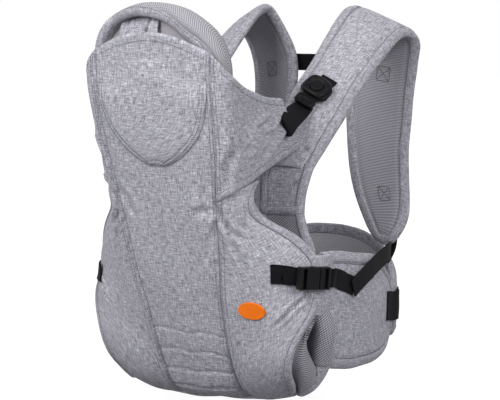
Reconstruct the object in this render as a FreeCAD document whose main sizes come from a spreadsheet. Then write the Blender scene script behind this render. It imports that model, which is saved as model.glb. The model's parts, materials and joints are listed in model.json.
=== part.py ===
"""Soft structured baby carrier, built as its separate sewn and moulded pieces.

Frame: X to the wearer's left-hand side of the panel seen from the front, -Y to the front,
+Z up. The origin is the middle of the loop that the waist belt makes round the wearer.
Lengths are millimetres.
"""
import FreeCAD, Part
import Sketcher
import os

V = FreeCAD.Vector
doc = FreeCAD.newDocument("soft_baby_carrier")

# ---------------------------------------------------------------- driving dimensions
SIZES = [
    # the sewn pattern: three girths that the pattern block below is graded to
    ("hip_half_width", 168, "half width where the panel side meets the waist belt"),
    ("panel_reach", 295, "how far the top of the panel stands in front of the waist centre"),
    ("panel_rise", 359, "top edge of the panel above the waist centre"),
    # soft layers
    ("cover_thickness", 3, "woven outer cloth with its wadding"),
    ("foam_thickness", 7, "foam sheet inside straps and belt"),
    ("lining_thickness", 3, "spacer mesh lining"),
    ("panel_thickness", 6, "quilted body panels"),
    ("pad_thickness", 5, "padded head patch"),
    ("rim_thickness", 7, "padding of the hood's band"),
    ("binding_width", 8, "folded tape that closes the edges"),
    ("layer_gap", 0.3, "clearance between soft layers"),
    ("strap_width", 86, "shoulder strap at its widest"),
    ("harness_width", 60, "lower strap from shoulder strap to belt"),
    # webbing
    ("webbing_width", 23, "shoulder, side and chest webbing"),
    ("waist_webbing_width", 38, "waist webbing"),
    ("webbing_thickness", 1.6, "all webbing"),
    # moulded buckles
    ("buckle_wall", 2, "wall of every moulded buckle"),
    ("buckle_rim", 2.2, "how far a buckle stands past its webbing on each side"),
    ("buckle_bar", 3.5, "bar that a webbing wraps round"),
    ("socket_height", 11, "socket of a side release buckle, off the cloth"),
    ("clip_base_length", 15, "webbing end of the clip"),
    ("clip_prong_width", 5, "each of the clip's three prongs"),
    ("clip_travel", 14, "how far a clip slides to come free"),
    ("moving_fit", 0.5, "clearance of moving buckle pieces"),
    ("latch_travel", 7.5, "how far the corner latch slides to come free"),
    ("latch_width", 30, "corner buckle across the strap"),
    ("latch_body_length", 34, "corner buckle body along the strap"),
    ("latch_base_length", 13, "webbing end of the corner latch"),
    ("latch_tongue_thickness", 2.6, "tongue of the corner latch"),
    ("latch_height", 10, "corner buckle body, off the strap"),
    ("adjuster_length", 24, "ladder adjuster at the strap tip"),
    ("adjuster_height", 4, "ladder adjuster at the strap tip"),
    ("slot_length", 5, "webbing slot in a buckle"),
    ("button_diameter", 16, "round press button of the corner buckle"),
    ("button_travel", 1.8, "press of the round button"),
    ("label_length", 36, "oval label"),
    ("label_height", 22, "oval label"),
    ("label_thickness", 1.8, "oval label"),
]

sheet = doc.addObject("Spreadsheet::Sheet", "Sizes")
for line, (alias, value, note) in enumerate(SIZES, start=1):
    sheet.set("A%d" % line, alias)
    sheet.set("B%d" % line, str(value))
    sheet.setAlias("B%d" % line, alias)
    sheet.set("C%d" % line, note)
doc.recompute()


def size(alias):
    return float(sheet.get(alias))


# ---------------------------------------------------------------- pattern block and its grading
# The pattern block is drawn for the base size; grading stretches it in width, depth and height.
BLOCK_HIP, BLOCK_REACH, BLOCK_RISE = 168.0, 295.0, 359.0
WIDER = size("hip_half_width") / BLOCK_HIP
DEEPER = size("panel_reach") / BLOCK_REACH
TALLER = size("panel_rise") / BLOCK_RISE


def graded(x, y, z):
    return V(x * WIDER, y * DEEPER, z * TALLER)


def graded_row(row):
    return [graded(*point) for point in row]


# ---------------------------------------------------------------- geometry helpers
def even_points(points, count):
    """The given points joined by one smooth curve and shared out evenly along it."""
    curve = Part.BSplineCurve()
    curve.interpolate(points)
    return curve.discretize(Number=count)


def even_grid(rows, across, along):
    """Rows of hand-set points turned into an even net: along rows of across points each."""
    smooth_rows = [even_points(row, across) for row in rows]
    columns = [even_points([row[j] for row in smooth_rows], along) for j in range(across)]
    return [[columns[j][i] for j in range(across)] for i in range(along)]


def net_normals(net, outward):
    """Unit normals of a net, all turned to the side that the outward vector points to."""
    normals = []
    last_row, last_column = len(net) - 1, len(net[0]) - 1
    for i, row in enumerate(net):
        line = []
        for j in range(len(row)):
            down = net[min(i + 1, last_row)][j] - net[max(i - 1, 0)][j]
            right = net[i][min(j + 1, last_column)] - net[i][max(j - 1, 0)]
            line.append(right.cross(down).normalize())
        normals.append(line)
    middle = normals[len(net) // 2][len(net[0]) // 2]
    sign = 1.0 if middle.dot(outward) > 0 else -1.0
    return [[n * sign for n in line] for line in normals]


def sunk_net(net, normals, depth):
    return [[p - n * depth for p, n in zip(row, line)] for row, line in zip(net, normals)]


def net_surface(net):
    surface = Part.BSplineSurface()
    surface.interpolate(net)
    return surface


def layer(net, normals, upper, lower):
    """A closed solid between two depths under a net: one soft layer."""
    outer = net_surface(sunk_net(net, normals, upper))
    inner = net_surface(sunk_net(net, normals, lower))
    faces = [outer.toShape(), inner.toShape()]
    u0, u1, v0, v1 = outer.bounds()
    a0, a1, b0, b1 = inner.bounds()
    borders = (
        (outer.uIso(u0), inner.uIso(a0)),
        (outer.uIso(u1), inner.uIso(a1)),
        (outer.vIso(v0), inner.vIso(b0)),
        (outer.vIso(v1), inner.vIso(b1)),
    )
    for upper_curve, lower_curve in borders:
        faces.append(Part.makeRuledSurface(upper_curve.toShape(), lower_curve.toShape(), 1))
    shell = Part.makeShell(faces)
    shell.sewShape()
    solid = Part.makeSolid(shell)
    if solid.Volume < 0:
        solid.reverse()
    return solid


def mirrored(shape):
    return shape.mirror(V(0, 0, 0), V(1, 0, 0))


def nearest_on(surface, point, lift, outward):
    """The surface's point nearest to a guide point, lifted off it along its outward normal."""
    u, v = surface.parameter(point)
    normal = surface.normal(u, v)
    if normal.dot(outward) < 0:
        normal = normal * -1.0
    return surface.value(u, v) + normal * lift, normal


def edge_strip(net, side, width):
    """A narrow net that runs along one border of a net, width wide: where a binding lies."""
    if side in ("top", "bottom"):
        lines = [list(column) for column in zip(*net)]
        near_end = side == "top"
    else:
        lines = [list(row) for row in net]
        near_end = side == "left"
    strip = []
    for line in lines:
        points = line if near_end else line[::-1]
        strip.append(points_within(points, width))
    return strip


def points_within(points, reach):
    """Three points of a polyline: its start, and those at half and at the whole reach."""
    picked = []
    for wanted in (0.0, reach / 2.0, reach):
        left = wanted
        spot = points[0]
        for a, b in zip(points, points[1:]):
            step = (b - a).Length
            if left <= step:
                spot = a + (b - a) * (left / step)
                break
            left -= step
            spot = b
        picked.append(spot)
    return picked


# ---------------------------------------------------------------- pieces and their registry
sub_parts = []
BACK, FRONT, UP = V(0, 1, 0), V(0, -1, 0), V(0, 0, 1)
RIGHT = V(1, 0, 0)


def add_shape(name, shape):
    piece = doc.addObject("Part::Feature", name)
    piece.Label = name
    piece.Shape = shape
    sub_parts.append(piece)
    return piece


def add_pair(name, shape):
    """A sewn piece on the +X side and its mirror image on the -X side."""
    add_shape(name + "_right", shape)
    add_shape(name + "_left", mirrored(shape))


def add_group(name, shapes):
    """Like pieces of both sides kept in one node, each as a solid of its own."""
    add_shape(name, Part.makeCompound(shapes))


def add_pair_group(name, shape):
    add_group(name, [shape, mirrored(shape)])


sewn_anchors = []
cover = size("cover_thickness")
foam = size("foam_thickness")
lining = size("lining_thickness")
gap = size("layer_gap")
panel = size("panel_thickness")
tape = size("webbing_thickness")


def add_padded_pair(name, net, normals, both=True):
    """Cover, foam and lining laid under one net, as three separate layers."""
    depth = 0.0
    for layer_name, thickness in (("cover", cover), ("foam", foam), ("lining", lining)):
        solid = layer(net, normals, depth, depth + thickness)
        depth += thickness
        if both and layer_name == "cover":
            add_pair(name + "_" + layer_name, solid)
        elif both:
            add_pair_group(name + "_" + layer_name, solid)
        else:
            add_shape(name + "_" + layer_name, solid)
        depth += gap


# ---------------------------------------------------------------- front of the carrier
# The long seam between the middle panel and the side panels, from the top edge down.
SEAM = [
    (88, -293, 337), (87, -291, 290), (84, -280, 226), (76, -265, 161), (70, -254, 108),
    (64, -241, 50), (60, -231, 15), (57, -217, -30), (54, -200, -62), (52, -183, -88),
    (50, -160, -104),
]
# Middle panel: half rows from the centre line towards the seam, which closes each row.
MIDDLE_ROWS = [
    [(0, -297, 359), (50, -297, 351)],
    [(0, -291, 300), (46, -292, 296)],
    [(0, -284, 230), (45, -284, 228)],
    [(0, -271, 162), (40, -270, 161)],
    [(0, -258, 105), (36, -257, 106)],
    [(0, -243, 45), (33, -243, 47)],
    [(0, -232, 8), (31, -232, 11)],
    [(0, -217, -36), (30, -217, -34)],
    [(0, -204, -68), (28, -203, -66)],
    [(0, -188, -94), (27, -187, -92)],
    [(0, -163, -108), (26, -162, -107)],
]
# Upper side panel, from the seam round the corner and back to the shoulder strap.
WING_ROWS = [
    [(88, -293, 337), (104, -288, 322), (112, -272, 307), (110, -240, 292),
     (108, -205, 282), (104, -164, 277)],
    [(87, -291, 290), (103, -285, 280), (110, -268, 268), (108, -232, 258),
     (106, -190, 253), (104, -153, 256)],
    [(84, -280, 226), (98, -273, 222), (106, -256, 220), (107, -225, 222),
     (105, -185, 228), (104, -140, 236)],
    [(76, -265, 161), (92, -262, 170), (104, -246, 180), (105, -215, 191),
     (105, -175, 204), (104, -128, 217)],
]
# Lower side panel, from the seam out to the armhole, the belt and the leg opening.
HIP_ROWS = [
    [(76, -265, 161), (88, -262, 167), (99, -254, 173), (106, -240, 178), (107, -220, 183)],
    [(75, -262, 150), (87, -260, 152), (98, -254, 156), (106, -246, 160), (110, -236, 164)],
    [(73, -259, 134), (87, -256, 136), (99, -249, 139), (107, -241, 144), (113, -231, 148)],
    [(71, -255, 114), (90, -250, 115), (108, -239, 118), (121, -227, 124), (131, -212, 129)],
    [(69, -250, 92), (94, -244, 92), (119, -231, 94), (140, -214, 100), (154, -195, 110)],
    [(66, -245, 68), (97, -239, 67), (127, -226, 67), (150, -209, 72), (167, -184, 88)],
    [(63, -239, 42), (98, -232, 41), (130, -221, 40), (154, -207, 40), (171, -185, 46)],
    [(60, -231, 15), (97, -226, 14), (129, -220, 13), (153, -210, 16), (170, -197, 23)],
    [(58, -222, -12), (93, -221, -12), (122, -220, -9), (143, -217, -6), (160, -212, -4)],
    [(56, -212, -36), (86, -215, -35), (113, -218, -34), (133, -218, -33), (150, -215, -33)],
    [(54, -201, -60), (77, -205, -60), (101, -208, -59), (122, -208, -58), (143, -205, -56)],
    [(52, -184, -86), (73, -187, -85), (95, -190, -82), (117, -192, -77), (138, -191, -70)],
    [(50, -160, -104), (70, -163, -102), (91, -167, -98), (111, -171, -92), (130, -177, -84)],
]


def both_sides(half_row):
    """A row that runs from the -X side over the centre line to the +X side."""
    return [(-x, y, z) for x, y, z in half_row[:0:-1]] + list(half_row)


seam_points = [graded(*point) for point in SEAM]
middle_rows = []
for half_row, seam_point in zip(MIDDLE_ROWS, SEAM):
    middle_rows.append(graded_row(both_sides(half_row + [seam_point])))
middle_net = even_grid(middle_rows, 13, 25)
middle_normals = net_normals(middle_net, FRONT)
middle_surface = net_surface(middle_net)

wing_net = even_grid([graded_row(row) for row in WING_ROWS], 13, 9)
wing_normals = net_normals(wing_net, RIGHT)
hip_net = even_grid([graded_row(row) for row in HIP_ROWS], 11, 25)
hip_normals = net_normals(hip_net, FRONT)
hip_surface = net_surface(hip_net)


def build_front():
    add_shape("centre_panel", layer(middle_net, middle_normals, 0, panel))
    add_pair("side_wing", layer(wing_net, wing_normals, 0, panel))
    add_pair("hip_panel", layer(hip_net, hip_normals, 0, panel))


# Padded patch on the upper half of the middle panel: half width at each height.
PATCH_ROWS = [
    (335, 80), (312, 82), (285, 82), (260, 77), (240, 67), (222, 51), (207, 31), (199, 12),
]


def build_head_patch():
    rows = []
    for height, half_width in PATCH_ROWS:
        row = []
        for share in (-1.0, -0.5, 0.0, 0.5, 1.0):
            guide = graded(share * half_width, -290, height)
            row.append(nearest_on(middle_surface, guide, gap, FRONT)[0])
        rows.append(row)
    net = even_grid(rows, 9, 15)
    add_shape("head_patch", layer(net, net_normals(net, FRONT), -size("pad_thickness"), 0))


# ---------------------------------------------------------------- hood behind the top edge
# The hood is a padded band round the back of the infant's head. Rows across it, from its low
# end on the -X side over the top to the +X side: inner front edge, front, ridge, back edge.
# It leans: its front face is wider on the +X side.
HOOD_BAND = [
    [(-88, -281, 302), (-93, -279, 303), (-96, -270, 303), (-92, -252, 301)],
    [(-86, -284, 322), (-91, -283, 323), (-96, -273, 323), (-92, -252, 320)],
    [(-82, -286, 340), (-87, -287, 342), (-93, -276, 341), (-88, -252, 336)],
    [(-74, -287, 355), (-79, -289, 358), (-86, -278, 355), (-80, -252, 349)],
    [(-59, -287, 369), (-64, -290, 373), (-69, -279, 374), (-64, -253, 366)],
    [(-35, -287, 379), (-37, -290, 385), (-41, -280, 389), (-38, -254, 381)],
    [(-8, -287, 381), (-6, -290, 389), (-4, -280, 395), (-3, -254, 387)],
    [(18, -287, 375), (25, -290, 384), (33, -280, 390), (32, -254, 383)],
    [(38, -287, 363), (50, -290, 373), (60, -279, 378), (57, -253, 371)],
    [(54, -286, 352), (68, -288, 361), (80, -278, 363), (75, -252, 357)],
    [(68, -285, 343), (81, -286, 346), (91, -277, 346), (86, -252, 340)],
    [(79, -284, 328), (88, -283, 330), (96, -274, 328), (91, -252, 324)],
    [(86, -281, 306), (92, -279, 307), (97, -270, 306), (93, -252, 303)],
]
# Lining behind the band: half width at each height, and its depth from the middle to the side.
LINING_ROWS = [(255, 84), (285, 86), (312, 83), (335, 76), (354, 64), (366, 48), (376, 20)]
LINING_DEPTHS = ((0.0, -276), (0.55, -275), (1.0, -268))

TAB_ROWS = [[(-50, -281, 352), (-22, -282, 352), (6, -282, 352)],
            [(-50, -281, 367), (-22, -281, 374), (6, -281, 375)]]


def build_hood():
    band = even_grid([graded_row(row) for row in HOOD_BAND], 9, 37)
    add_shape("hood_rim", layer(band, net_normals(band, UP), 0, size("rim_thickness")))
    rows = []
    for height, half_width in LINING_ROWS:
        half = [(half_width * share, depth, height) for share, depth in LINING_DEPTHS]
        rows.append(graded_row(both_sides(half)))
    net = even_grid(rows, 13, 13)
    add_shape("hood_lining", layer(net, net_normals(net, FRONT), 0, panel))
    tab_net = even_grid([graded_row(row) for row in TAB_ROWS], 5, 3)
    add_shape("hood_tab", layer(tab_net, net_normals(tab_net, FRONT), -cover, 0))


# ---------------------------------------------------------------- shoulder straps
# Stations from the front end over the shoulder to the tip at the back:
# middle of the strap, direction across it, and its share of the full width.
STRAP_STATIONS = [
    ((92, -138, 192), (62, 15, -4), 0.75),
    ((96, -126, 218), (65, 20, -9), 0.80),
    ((102, -110, 245), (66, 20, -14), 0.82),
    ((105, -93, 266), (66, 19, -21), 0.84),
    ((105, -69, 289), (66, 18, -21), 0.84),
    ((105, -44, 308), (66, 18, -21), 0.84),
    ((105, -21, 326), (66, 21, -24), 0.86),
    ((105, 0, 342), (66, 23, -28), 0.88),
    ((105, 27, 361), (66, 23, -34), 0.91),
    ((105, 50, 371), (66, 24, -34), 0.93),
    ((105, 66, 371), (70, 27, -32), 0.98),
    ((102, 79, 362), (74, 27, -24), 1.00),
    ((97, 91, 344), (80, 24, -12), 1.00),
    ((91, 98, 322), (82, 21, -4), 1.00),
    ((87, 100, 298), (83, 22, 0), 1.00),
    ((84, 95, 262), (81, 28, 0), 1.00),
    ((85, 91, 230), (78, 28, 0), 0.97),
    ((88, 86, 197), (76, 24, 0), 0.92),
    ((95, 80, 159), (74, 18, 0), 0.89),
    ((105, 73, 128), (70, 12, 0), 0.83),
    ((113, 67, 104), (66, 8, 0), 0.70),
    ((117, 62, 84), (60, 4, 0), 0.48),
    ((118, 60, 72), (60, 3, 0), 0.28),
]
HARNESS_STATIONS = [
    ((91, -140, 188), (62, 13, -3), 1.02),
    ((89, -146, 163), (61, 11, -3), 1.00),
    ((89, -150, 139), (60, 8, -2), 1.00),
    ((90, -151, 112), (62, 6, 0), 1.03),
    ((92, -151, 84), (64, 2, 0), 1.08),
    ((94, -151, 60), (64, 0, 0), 1.08),
]


def strap_rows(stations, full_width, crown):
    """Rows across a strap; its middle stands a little proud of its edges."""
    points = [graded(*middle) for middle, _, _ in stations]
    rows = []
    for k, (_, across, share) in enumerate(stations):
        side = V(*across).normalize()
        ahead = points[min(k + 1, len(points) - 1)] - points[max(k - 1, 0)]
        proud = side.cross(ahead).normalize() * crown
        half = side * (full_width * share / 2.0)
        middle = points[k]
        rows.append([middle - half, middle - half * 0.5 + proud * 0.8, middle + proud,
                     middle + half * 0.5 + proud * 0.8, middle + half])
    return rows


# How far the middle of a shoulder strap stands proud of its edges.
cover_crown = 2.0
strap_net = even_grid(strap_rows(STRAP_STATIONS, size("strap_width"), cover_crown), 9, 61)
strap_normals = net_normals(strap_net, UP)
strap_surface = net_surface(strap_net)
harness_net = even_grid(strap_rows(HARNESS_STATIONS, size("harness_width"), 1.0), 7, 15)
harness_normals = net_normals(harness_net, FRONT)


def build_straps():
    add_padded_pair("shoulder_strap", strap_net, strap_normals)
    add_pair("harness_strap", layer(harness_net, harness_normals, 0, panel))


# ---------------------------------------------------------------- waist belt
# Wing of the belt, from the panel side round to its rounded end: plan point, top and bottom.
WING_BELT = [
    ((169, -166), 92, -46), ((170, -132), 89, -53), ((169, -100), 83, -59), ((165, -66), 77, -62),
    ((158, -32), 70, -65), ((152, -4), 59, -64), ((149, 13), 43, -57), ((147, 27), 18, -36),
]
# Back support, half of it, from its middle to its rounded end.
LUMBAR_BELT = [
    ((0, 121), 77, -58), ((28, 119), 76, -58), ((56, 113), 72, -58), ((82, 103), 64, -58),
    ((103, 91), 54, -57), ((119, 77), 42, -54), ((131, 62), 26, -46), ((138, 48), 6, -28),
]
# Belly side of the body, half of it, from the middle towards the belt wing.
BELLY_BELT = [((0, -131), 84, -62), ((60, -133), 84, -62), ((110, -138), 84, -60),
              ((138, -143), 84, -54), ((151, -149), 84, -48)]
# Bib between the two harness straps, above the belly panel: half rows from the top.
INNER_ROWS = [[(0, -144, 152), (62, -144, 152)], [(0, -142, 118), (62, -144, 118)],
              [(0, -132, 85), (62, -138, 85)]]
BARREL = ((1.0, 0.0), (0.66, 2.5), (0.33, 2.5), (0.0, 0.0))


def belt_rows(stations, outward):
    """Rows down a belt: each station gives a column between its top and its bottom."""
    rows = []
    for share, bulge in BARREL:
        row = []
        for (x, y), top, bottom in stations:
            away = V(x, y, 0).normalize() * bulge if outward else V(0, 0, 0)
            row.append(graded(x, y, bottom + (top - bottom) * share) + away)
        rows.append(row)
    return rows


def mirrored_stations(stations):
    left = [((-x, y), top, bottom) for (x, y), top, bottom in stations[:0:-1]]
    return left + list(stations)


belt_net = even_grid(belt_rows(WING_BELT, True), 21, 11)
belt_normals = net_normals(belt_net, RIGHT)
belt_surface = net_surface(belt_net)
lumbar_net = even_grid(belt_rows(mirrored_stations(LUMBAR_BELT), True), 31, 11)
lumbar_normals = net_normals(lumbar_net, BACK)
lumbar_surface = net_surface(lumbar_net)
belly_net = even_grid(belt_rows(mirrored_stations(BELLY_BELT), False), 21, 9)
belly_normals = net_normals(belly_net, FRONT)


def build_belt():
    add_padded_pair("waist_wing", belt_net, belt_normals)
    add_padded_pair("lumbar_pad", lumbar_net, lumbar_normals, both=False)
    add_shape("belly_panel", layer(belly_net, belly_normals, 0, panel))
    net = even_grid([graded_row(both_sides(half)) for half in INNER_ROWS], 7, 7)
    add_shape("inner_panel", layer(net, net_normals(net, FRONT), 0, panel))


# ---------------------------------------------------------------- seat and leg openings
# Half rows from the bottom of the front panel back and up to the belly panel.
SEAT_ROWS = [
    [(0, -160, -109), (60, -161, -105), (120, -171, -88)],
    [(0, -147, -112), (60, -147, -107), (116, -155, -93)],
    [(0, -133, -105), (60, -134, -102), (113, -141, -90)],
    [(0, -126, -86), (60, -127, -85), (109, -133, -80)],
    [(0, -125, -63), (60, -126, -63), (108, -131, -61)],
]
# Mesh walls of a leg opening: the front one hangs behind the bound edge of the side panel and
# these are its inner edge; the back one stands in front of the belt.
CUFF_INNER = [(165, -182, 18), (157, -195, -3), (146, -198, -24), (137, -196, -43),
              (130, -185, -61), (122, -167, -79)]
CUFF_BACK = [
    [(169, -171, 14), (165, -174, 12), (161, -177, 10)],
    [(166, -171, -8), (160, -174, -10), (153, -176, -13)],
    [(160, -170, -28), (152, -172, -30), (144, -173, -33)],
    [(151, -163, -47), (142, -164, -51), (133, -164, -55)],
]
# Rows of the side panel net below the armhole, where its edge is the leg opening.
LEG_ROWS = slice(14, None)
CUFF_INSET = 2.5


def build_seat():
    net = even_grid([graded_row(both_sides(half)) for half in SEAT_ROWS], 9, 13)
    add_shape("seat_base", layer(net, net_normals(net, UP * -1.0), 0, panel))
    outer_edge = [points[-1] - lines[-1] * (panel + CUFF_INSET)
                  for points, lines in zip(hip_net[LEG_ROWS], hip_normals[LEG_ROWS])]
    outer_edge = even_points(outer_edge, len(CUFF_INNER))
    front = [[outer, (outer + inner) * 0.5, inner]
             for outer, inner in zip(outer_edge, graded_row(CUFF_INNER))]
    walls = []
    for table in (front, [graded_row(row) for row in CUFF_BACK]):
        net = even_grid(table, 5, 11)
        walls.append(layer(net, net_normals(net, RIGHT), 0, lining))
    add_group("leg_cuff_right", walls)
    add_group("leg_cuff_left", [mirrored(wall) for wall in walls])


# ---------------------------------------------------------------- edge bindings
def build_bindings():
    width = size("binding_width")
    for name, net, side, outward in (
            ("wing_hem", wing_net, "bottom", RIGHT),
            ("armhole_binding", hip_net[:11], "right", RIGHT),
            ("leg_binding", hip_net[13:], "right", FRONT)):
        strip = edge_strip(net, side, width)
        normals = net_normals(strip, outward)
        add_pair_group(name, layer(strip, normals, -tape - 2 * gap, -2 * gap))


# ---------------------------------------------------------------- webbing
def resting(surface, guides, count, lift, outward):
    """Stations of a webbing that lies on a surface along a smooth line through the guides."""
    return [nearest_on(surface, guide, lift, outward) + (surface, lift)
            for guide in even_points(guides, count)]


def hanging(points, normals):
    """Stations of a webbing that spans the air, flat against the given normals."""
    return [(point, normal, None, 0.0) for point, normal in zip(points, normals)]


def webbing(stations, width, outward):
    """Flat webbing through its stations: it hugs the surface of each one that rests on one."""
    rows = []
    last = len(stations) - 1
    for k, (point, normal, surface, lift) in enumerate(stations):
        ahead = stations[min(k + 1, last)][0] - stations[max(k - 1, 0)][0]
        across = ahead.cross(normal).normalize() * (width / 2.0)
        row = [point - across, point - across * 0.5, point, point + across * 0.5, point + across]
        if surface:
            row = [nearest_on(surface, spot, lift, normal)[0] for spot in row]
        rows.append(row)
    net = even_grid(rows, 5, 2 * len(rows) + 1)
    return layer(net, net_normals(net, outward), -tape, 0)


def add_anchor_pair(stations, outward):
    anchor = webbing(stations, wide, outward)
    sewn_anchors.extend([anchor, mirrored(anchor)])


# A moving webbing slides over the fixed one under it.
fixed_lift = gap
moving_lift = fixed_lift + tape + size("moving_fit")
wide = size("webbing_width")
waist_wide = size("waist_webbing_width")


# ---------------------------------------------------------------- moulded pieces
def plane_of(body, role):
    for feature in body.Origin.OriginFeatures:
        if feature.Role == role:
            return feature
    raise ValueError(role)


def new_body(name):
    body = doc.addObject("PartDesign::Body", name)
    body.Label = name
    return body


def rectangle(body, name, left, low, length, width, level):
    """A sketched rectangle; its corner, sides and level are expressions of the sheet."""
    sketch = body.newObject("Sketcher::SketchObject", name)
    sketch.AttachmentSupport = [(plane_of(body, "XY_Plane"), "")]
    sketch.MapMode = "FlatFace"
    sketch.setExpression("AttachmentOffset.Base.z", level)
    corners = [V(0, 0, 0), V(10, 0, 0), V(10, 10, 0), V(0, 10, 0)]
    for k in range(4):
        sketch.addGeometry(Part.LineSegment(corners[k], corners[(k + 1) % 4]), False)
    for k in range(4):
        sketch.addConstraint(Sketcher.Constraint("Coincident", k, 2, (k + 1) % 4, 1))
    for k, kind in enumerate(("Horizontal", "Vertical", "Horizontal", "Vertical")):
        sketch.addConstraint(Sketcher.Constraint(kind, k))
    for title, value, index in (
            ("length", length, sketch.addConstraint(
                Sketcher.Constraint("DistanceX", 0, 1, 0, 2, 10.0))),
            ("width", width, sketch.addConstraint(
                Sketcher.Constraint("DistanceY", 1, 1, 1, 2, 10.0))),
            ("left", left, sketch.addConstraint(
                Sketcher.Constraint("DistanceX", -1, 1, 0, 1, 1.0))),
            ("low", low, sketch.addConstraint(
                Sketcher.Constraint("DistanceY", -1, 1, 0, 1, 1.0)))):
        sketch.renameConstraint(index, title)
        sketch.setExpression("Constraints." + title, value)
    return sketch


def circle(body, name, x, diameter, level):
    sketch = body.newObject("Sketcher::SketchObject", name)
    sketch.AttachmentSupport = [(plane_of(body, "XY_Plane"), "")]
    sketch.MapMode = "FlatFace"
    sketch.setExpression("AttachmentOffset.Base.z", level)
    sketch.setExpression("AttachmentOffset.Base.x", x)
    sketch.addGeometry(Part.Circle(V(0, 0, 0), UP, 5.0), False)
    sketch.addConstraint(Sketcher.Constraint("Coincident", 0, 3, -1, 1))
    index = sketch.addConstraint(Sketcher.Constraint("Diameter", 0, 10.0))
    sketch.renameConstraint(index, "diameter")
    sketch.setExpression("Constraints.diameter", diameter)
    return sketch


def pad(body, name, sketch, height):
    feature = body.newObject("PartDesign::Pad", name)
    feature.Profile = sketch
    feature.setExpression("Length", height)
    body.Tip = feature
    return feature


def pocket(body, name, sketch, depth):
    """Cuts down from the sketch's level by a depth."""
    feature = body.newObject("PartDesign::Pocket", name)
    feature.Profile = sketch
    feature.setExpression("Length", depth)
    body.Tip = feature
    return feature


def rounded(body, name, base, radius):
    """Rounds every edge of a feature."""
    doc.recompute()
    feature = body.newObject("PartDesign::Fillet", name)
    feature.Base = (base, ["Face1"])
    feature.UseAllEdges = True
    feature.Radius = radius
    body.Tip = feature
    return feature


def add_body(body, placement):
    body.Placement = placement
    sub_parts.append(body)
    return body


def add_mirror(body, name):
    twin = doc.addObject("Part::Mirroring", name)
    twin.Label = name
    twin.Source = body
    twin.Base = V(0, 0, 0)
    twin.Normal = RIGHT
    sub_parts.append(twin)
    return twin


def frame(origin, along, normal):
    """Placement with local X along a direction and local Z close to a normal."""
    across = normal.cross(along).normalize()
    return FreeCAD.Placement(origin, FreeCAD.Rotation(along, across, along.cross(across), "XZY"))


def buckle_words(webbing):
    """Expressions that every side release buckle of one webbing shares."""
    words = {"travel": "Sizes.clip_travel", "fit": "Sizes.moving_fit", "wall": "Sizes.buckle_wall"}
    words["width"] = "(Sizes.%s + 2 * Sizes.buckle_rim)" % webbing
    words["cavity"] = "(Sizes.clip_travel + 2 * Sizes.moving_fit)"
    words["heel"] = "(2 * Sizes.buckle_bar + Sizes.slot_length)"
    words["height"] = "Sizes.socket_height"
    words["slot"] = "Sizes.slot_length"
    words["bar"] = "Sizes.buckle_bar"
    words["webbing"] = "(Sizes.%s + 2 * Sizes.moving_fit)" % webbing
    return words


def socket_body(name, webbing):
    """Socket: local X runs from its webbing bar to its open mouth."""
    w = buckle_words(webbing)
    body = new_body(name)
    block = pad(body, name + "_block", rectangle(
        body, name + "_outline", "0", "-%(width)s / 2" % w, "%(heel)s + %(cavity)s" % w,
        w["width"], "0"), w["height"])
    rounded(body, name + "_soft_edges", block, 1.4)
    pocket(body, name + "_cavity", rectangle(
        body, name + "_mouth", w["heel"], "-%(width)s / 2 + %(wall)s" % w,
        "%(cavity)s + 1" % w, "%(width)s - 2 * %(wall)s" % w, "%(height)s - %(wall)s" % w),
        "%(height)s - 2 * %(wall)s" % w)
    pocket(body, name + "_windows", rectangle(
        body, name + "_window_outline", "%(heel)s + %(wall)s" % w, "-%(width)s / 2 - 1" % w,
        "%(cavity)s / 2" % w, "%(width)s + 2" % w, "%(height)s - %(wall)s" % w),
        "%(height)s - 2 * %(wall)s" % w)
    pocket(body, name + "_slot", rectangle(
        body, name + "_slot_outline", w["bar"], "-%(webbing)s / 2" % w, w["slot"],
        w["webbing"], "%(height)s + 1" % w), "%(height)s + 2" % w)
    return body


def clip_body(name, webbing):
    """Clip in the same local frame as its socket: base outside the mouth, prongs inside."""
    w = buckle_words(webbing)
    w["mouth"] = "(%(heel)s + %(cavity)s)" % w
    w["room"] = "(%(wall)s + %(fit)s)" % w
    body = new_body(name)
    block = pad(body, name + "_base", rectangle(
        body, name + "_outline", "%(mouth)s + %(fit)s" % w, "-%(width)s / 2" % w,
        "Sizes.clip_base_length", w["width"], "0"), w["height"])
    rounded(body, name + "_soft_edges", block, 1.4)
    prong = "Sizes.clip_prong_width"
    for side, low in (("low", "-%(width)s / 2 + %(room)s" % w),
                      ("high", "%(width)s / 2 - %(room)s - " % w + prong),
                      ("middle", "-" + prong + " / 2")):
        pad(body, name + "_prong_" + side, rectangle(
            body, name + "_prong_outline_" + side, "%(mouth)s - %(travel)s + %(fit)s" % w, low,
            "%(travel)s + 2" % w, prong, w["room"]), "%(height)s - 2 * %(room)s" % w)
    pocket(body, name + "_slot", rectangle(
        body, name + "_slot_outline",
        "%(mouth)s + %(fit)s + Sizes.clip_base_length - %(bar)s - %(slot)s" % w,
        "-%(webbing)s / 2" % w, w["slot"], w["webbing"], "%(height)s + 1" % w),
        "%(height)s + 2" % w)
    return body


def closed_length():
    """How long a closed side release buckle is, from its socket's bar to its clip's bar."""
    socket = 2 * size("buckle_bar") + size("slot_length") + size("clip_travel")
    return socket + 3 * size("moving_fit") + size("clip_base_length")


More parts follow.
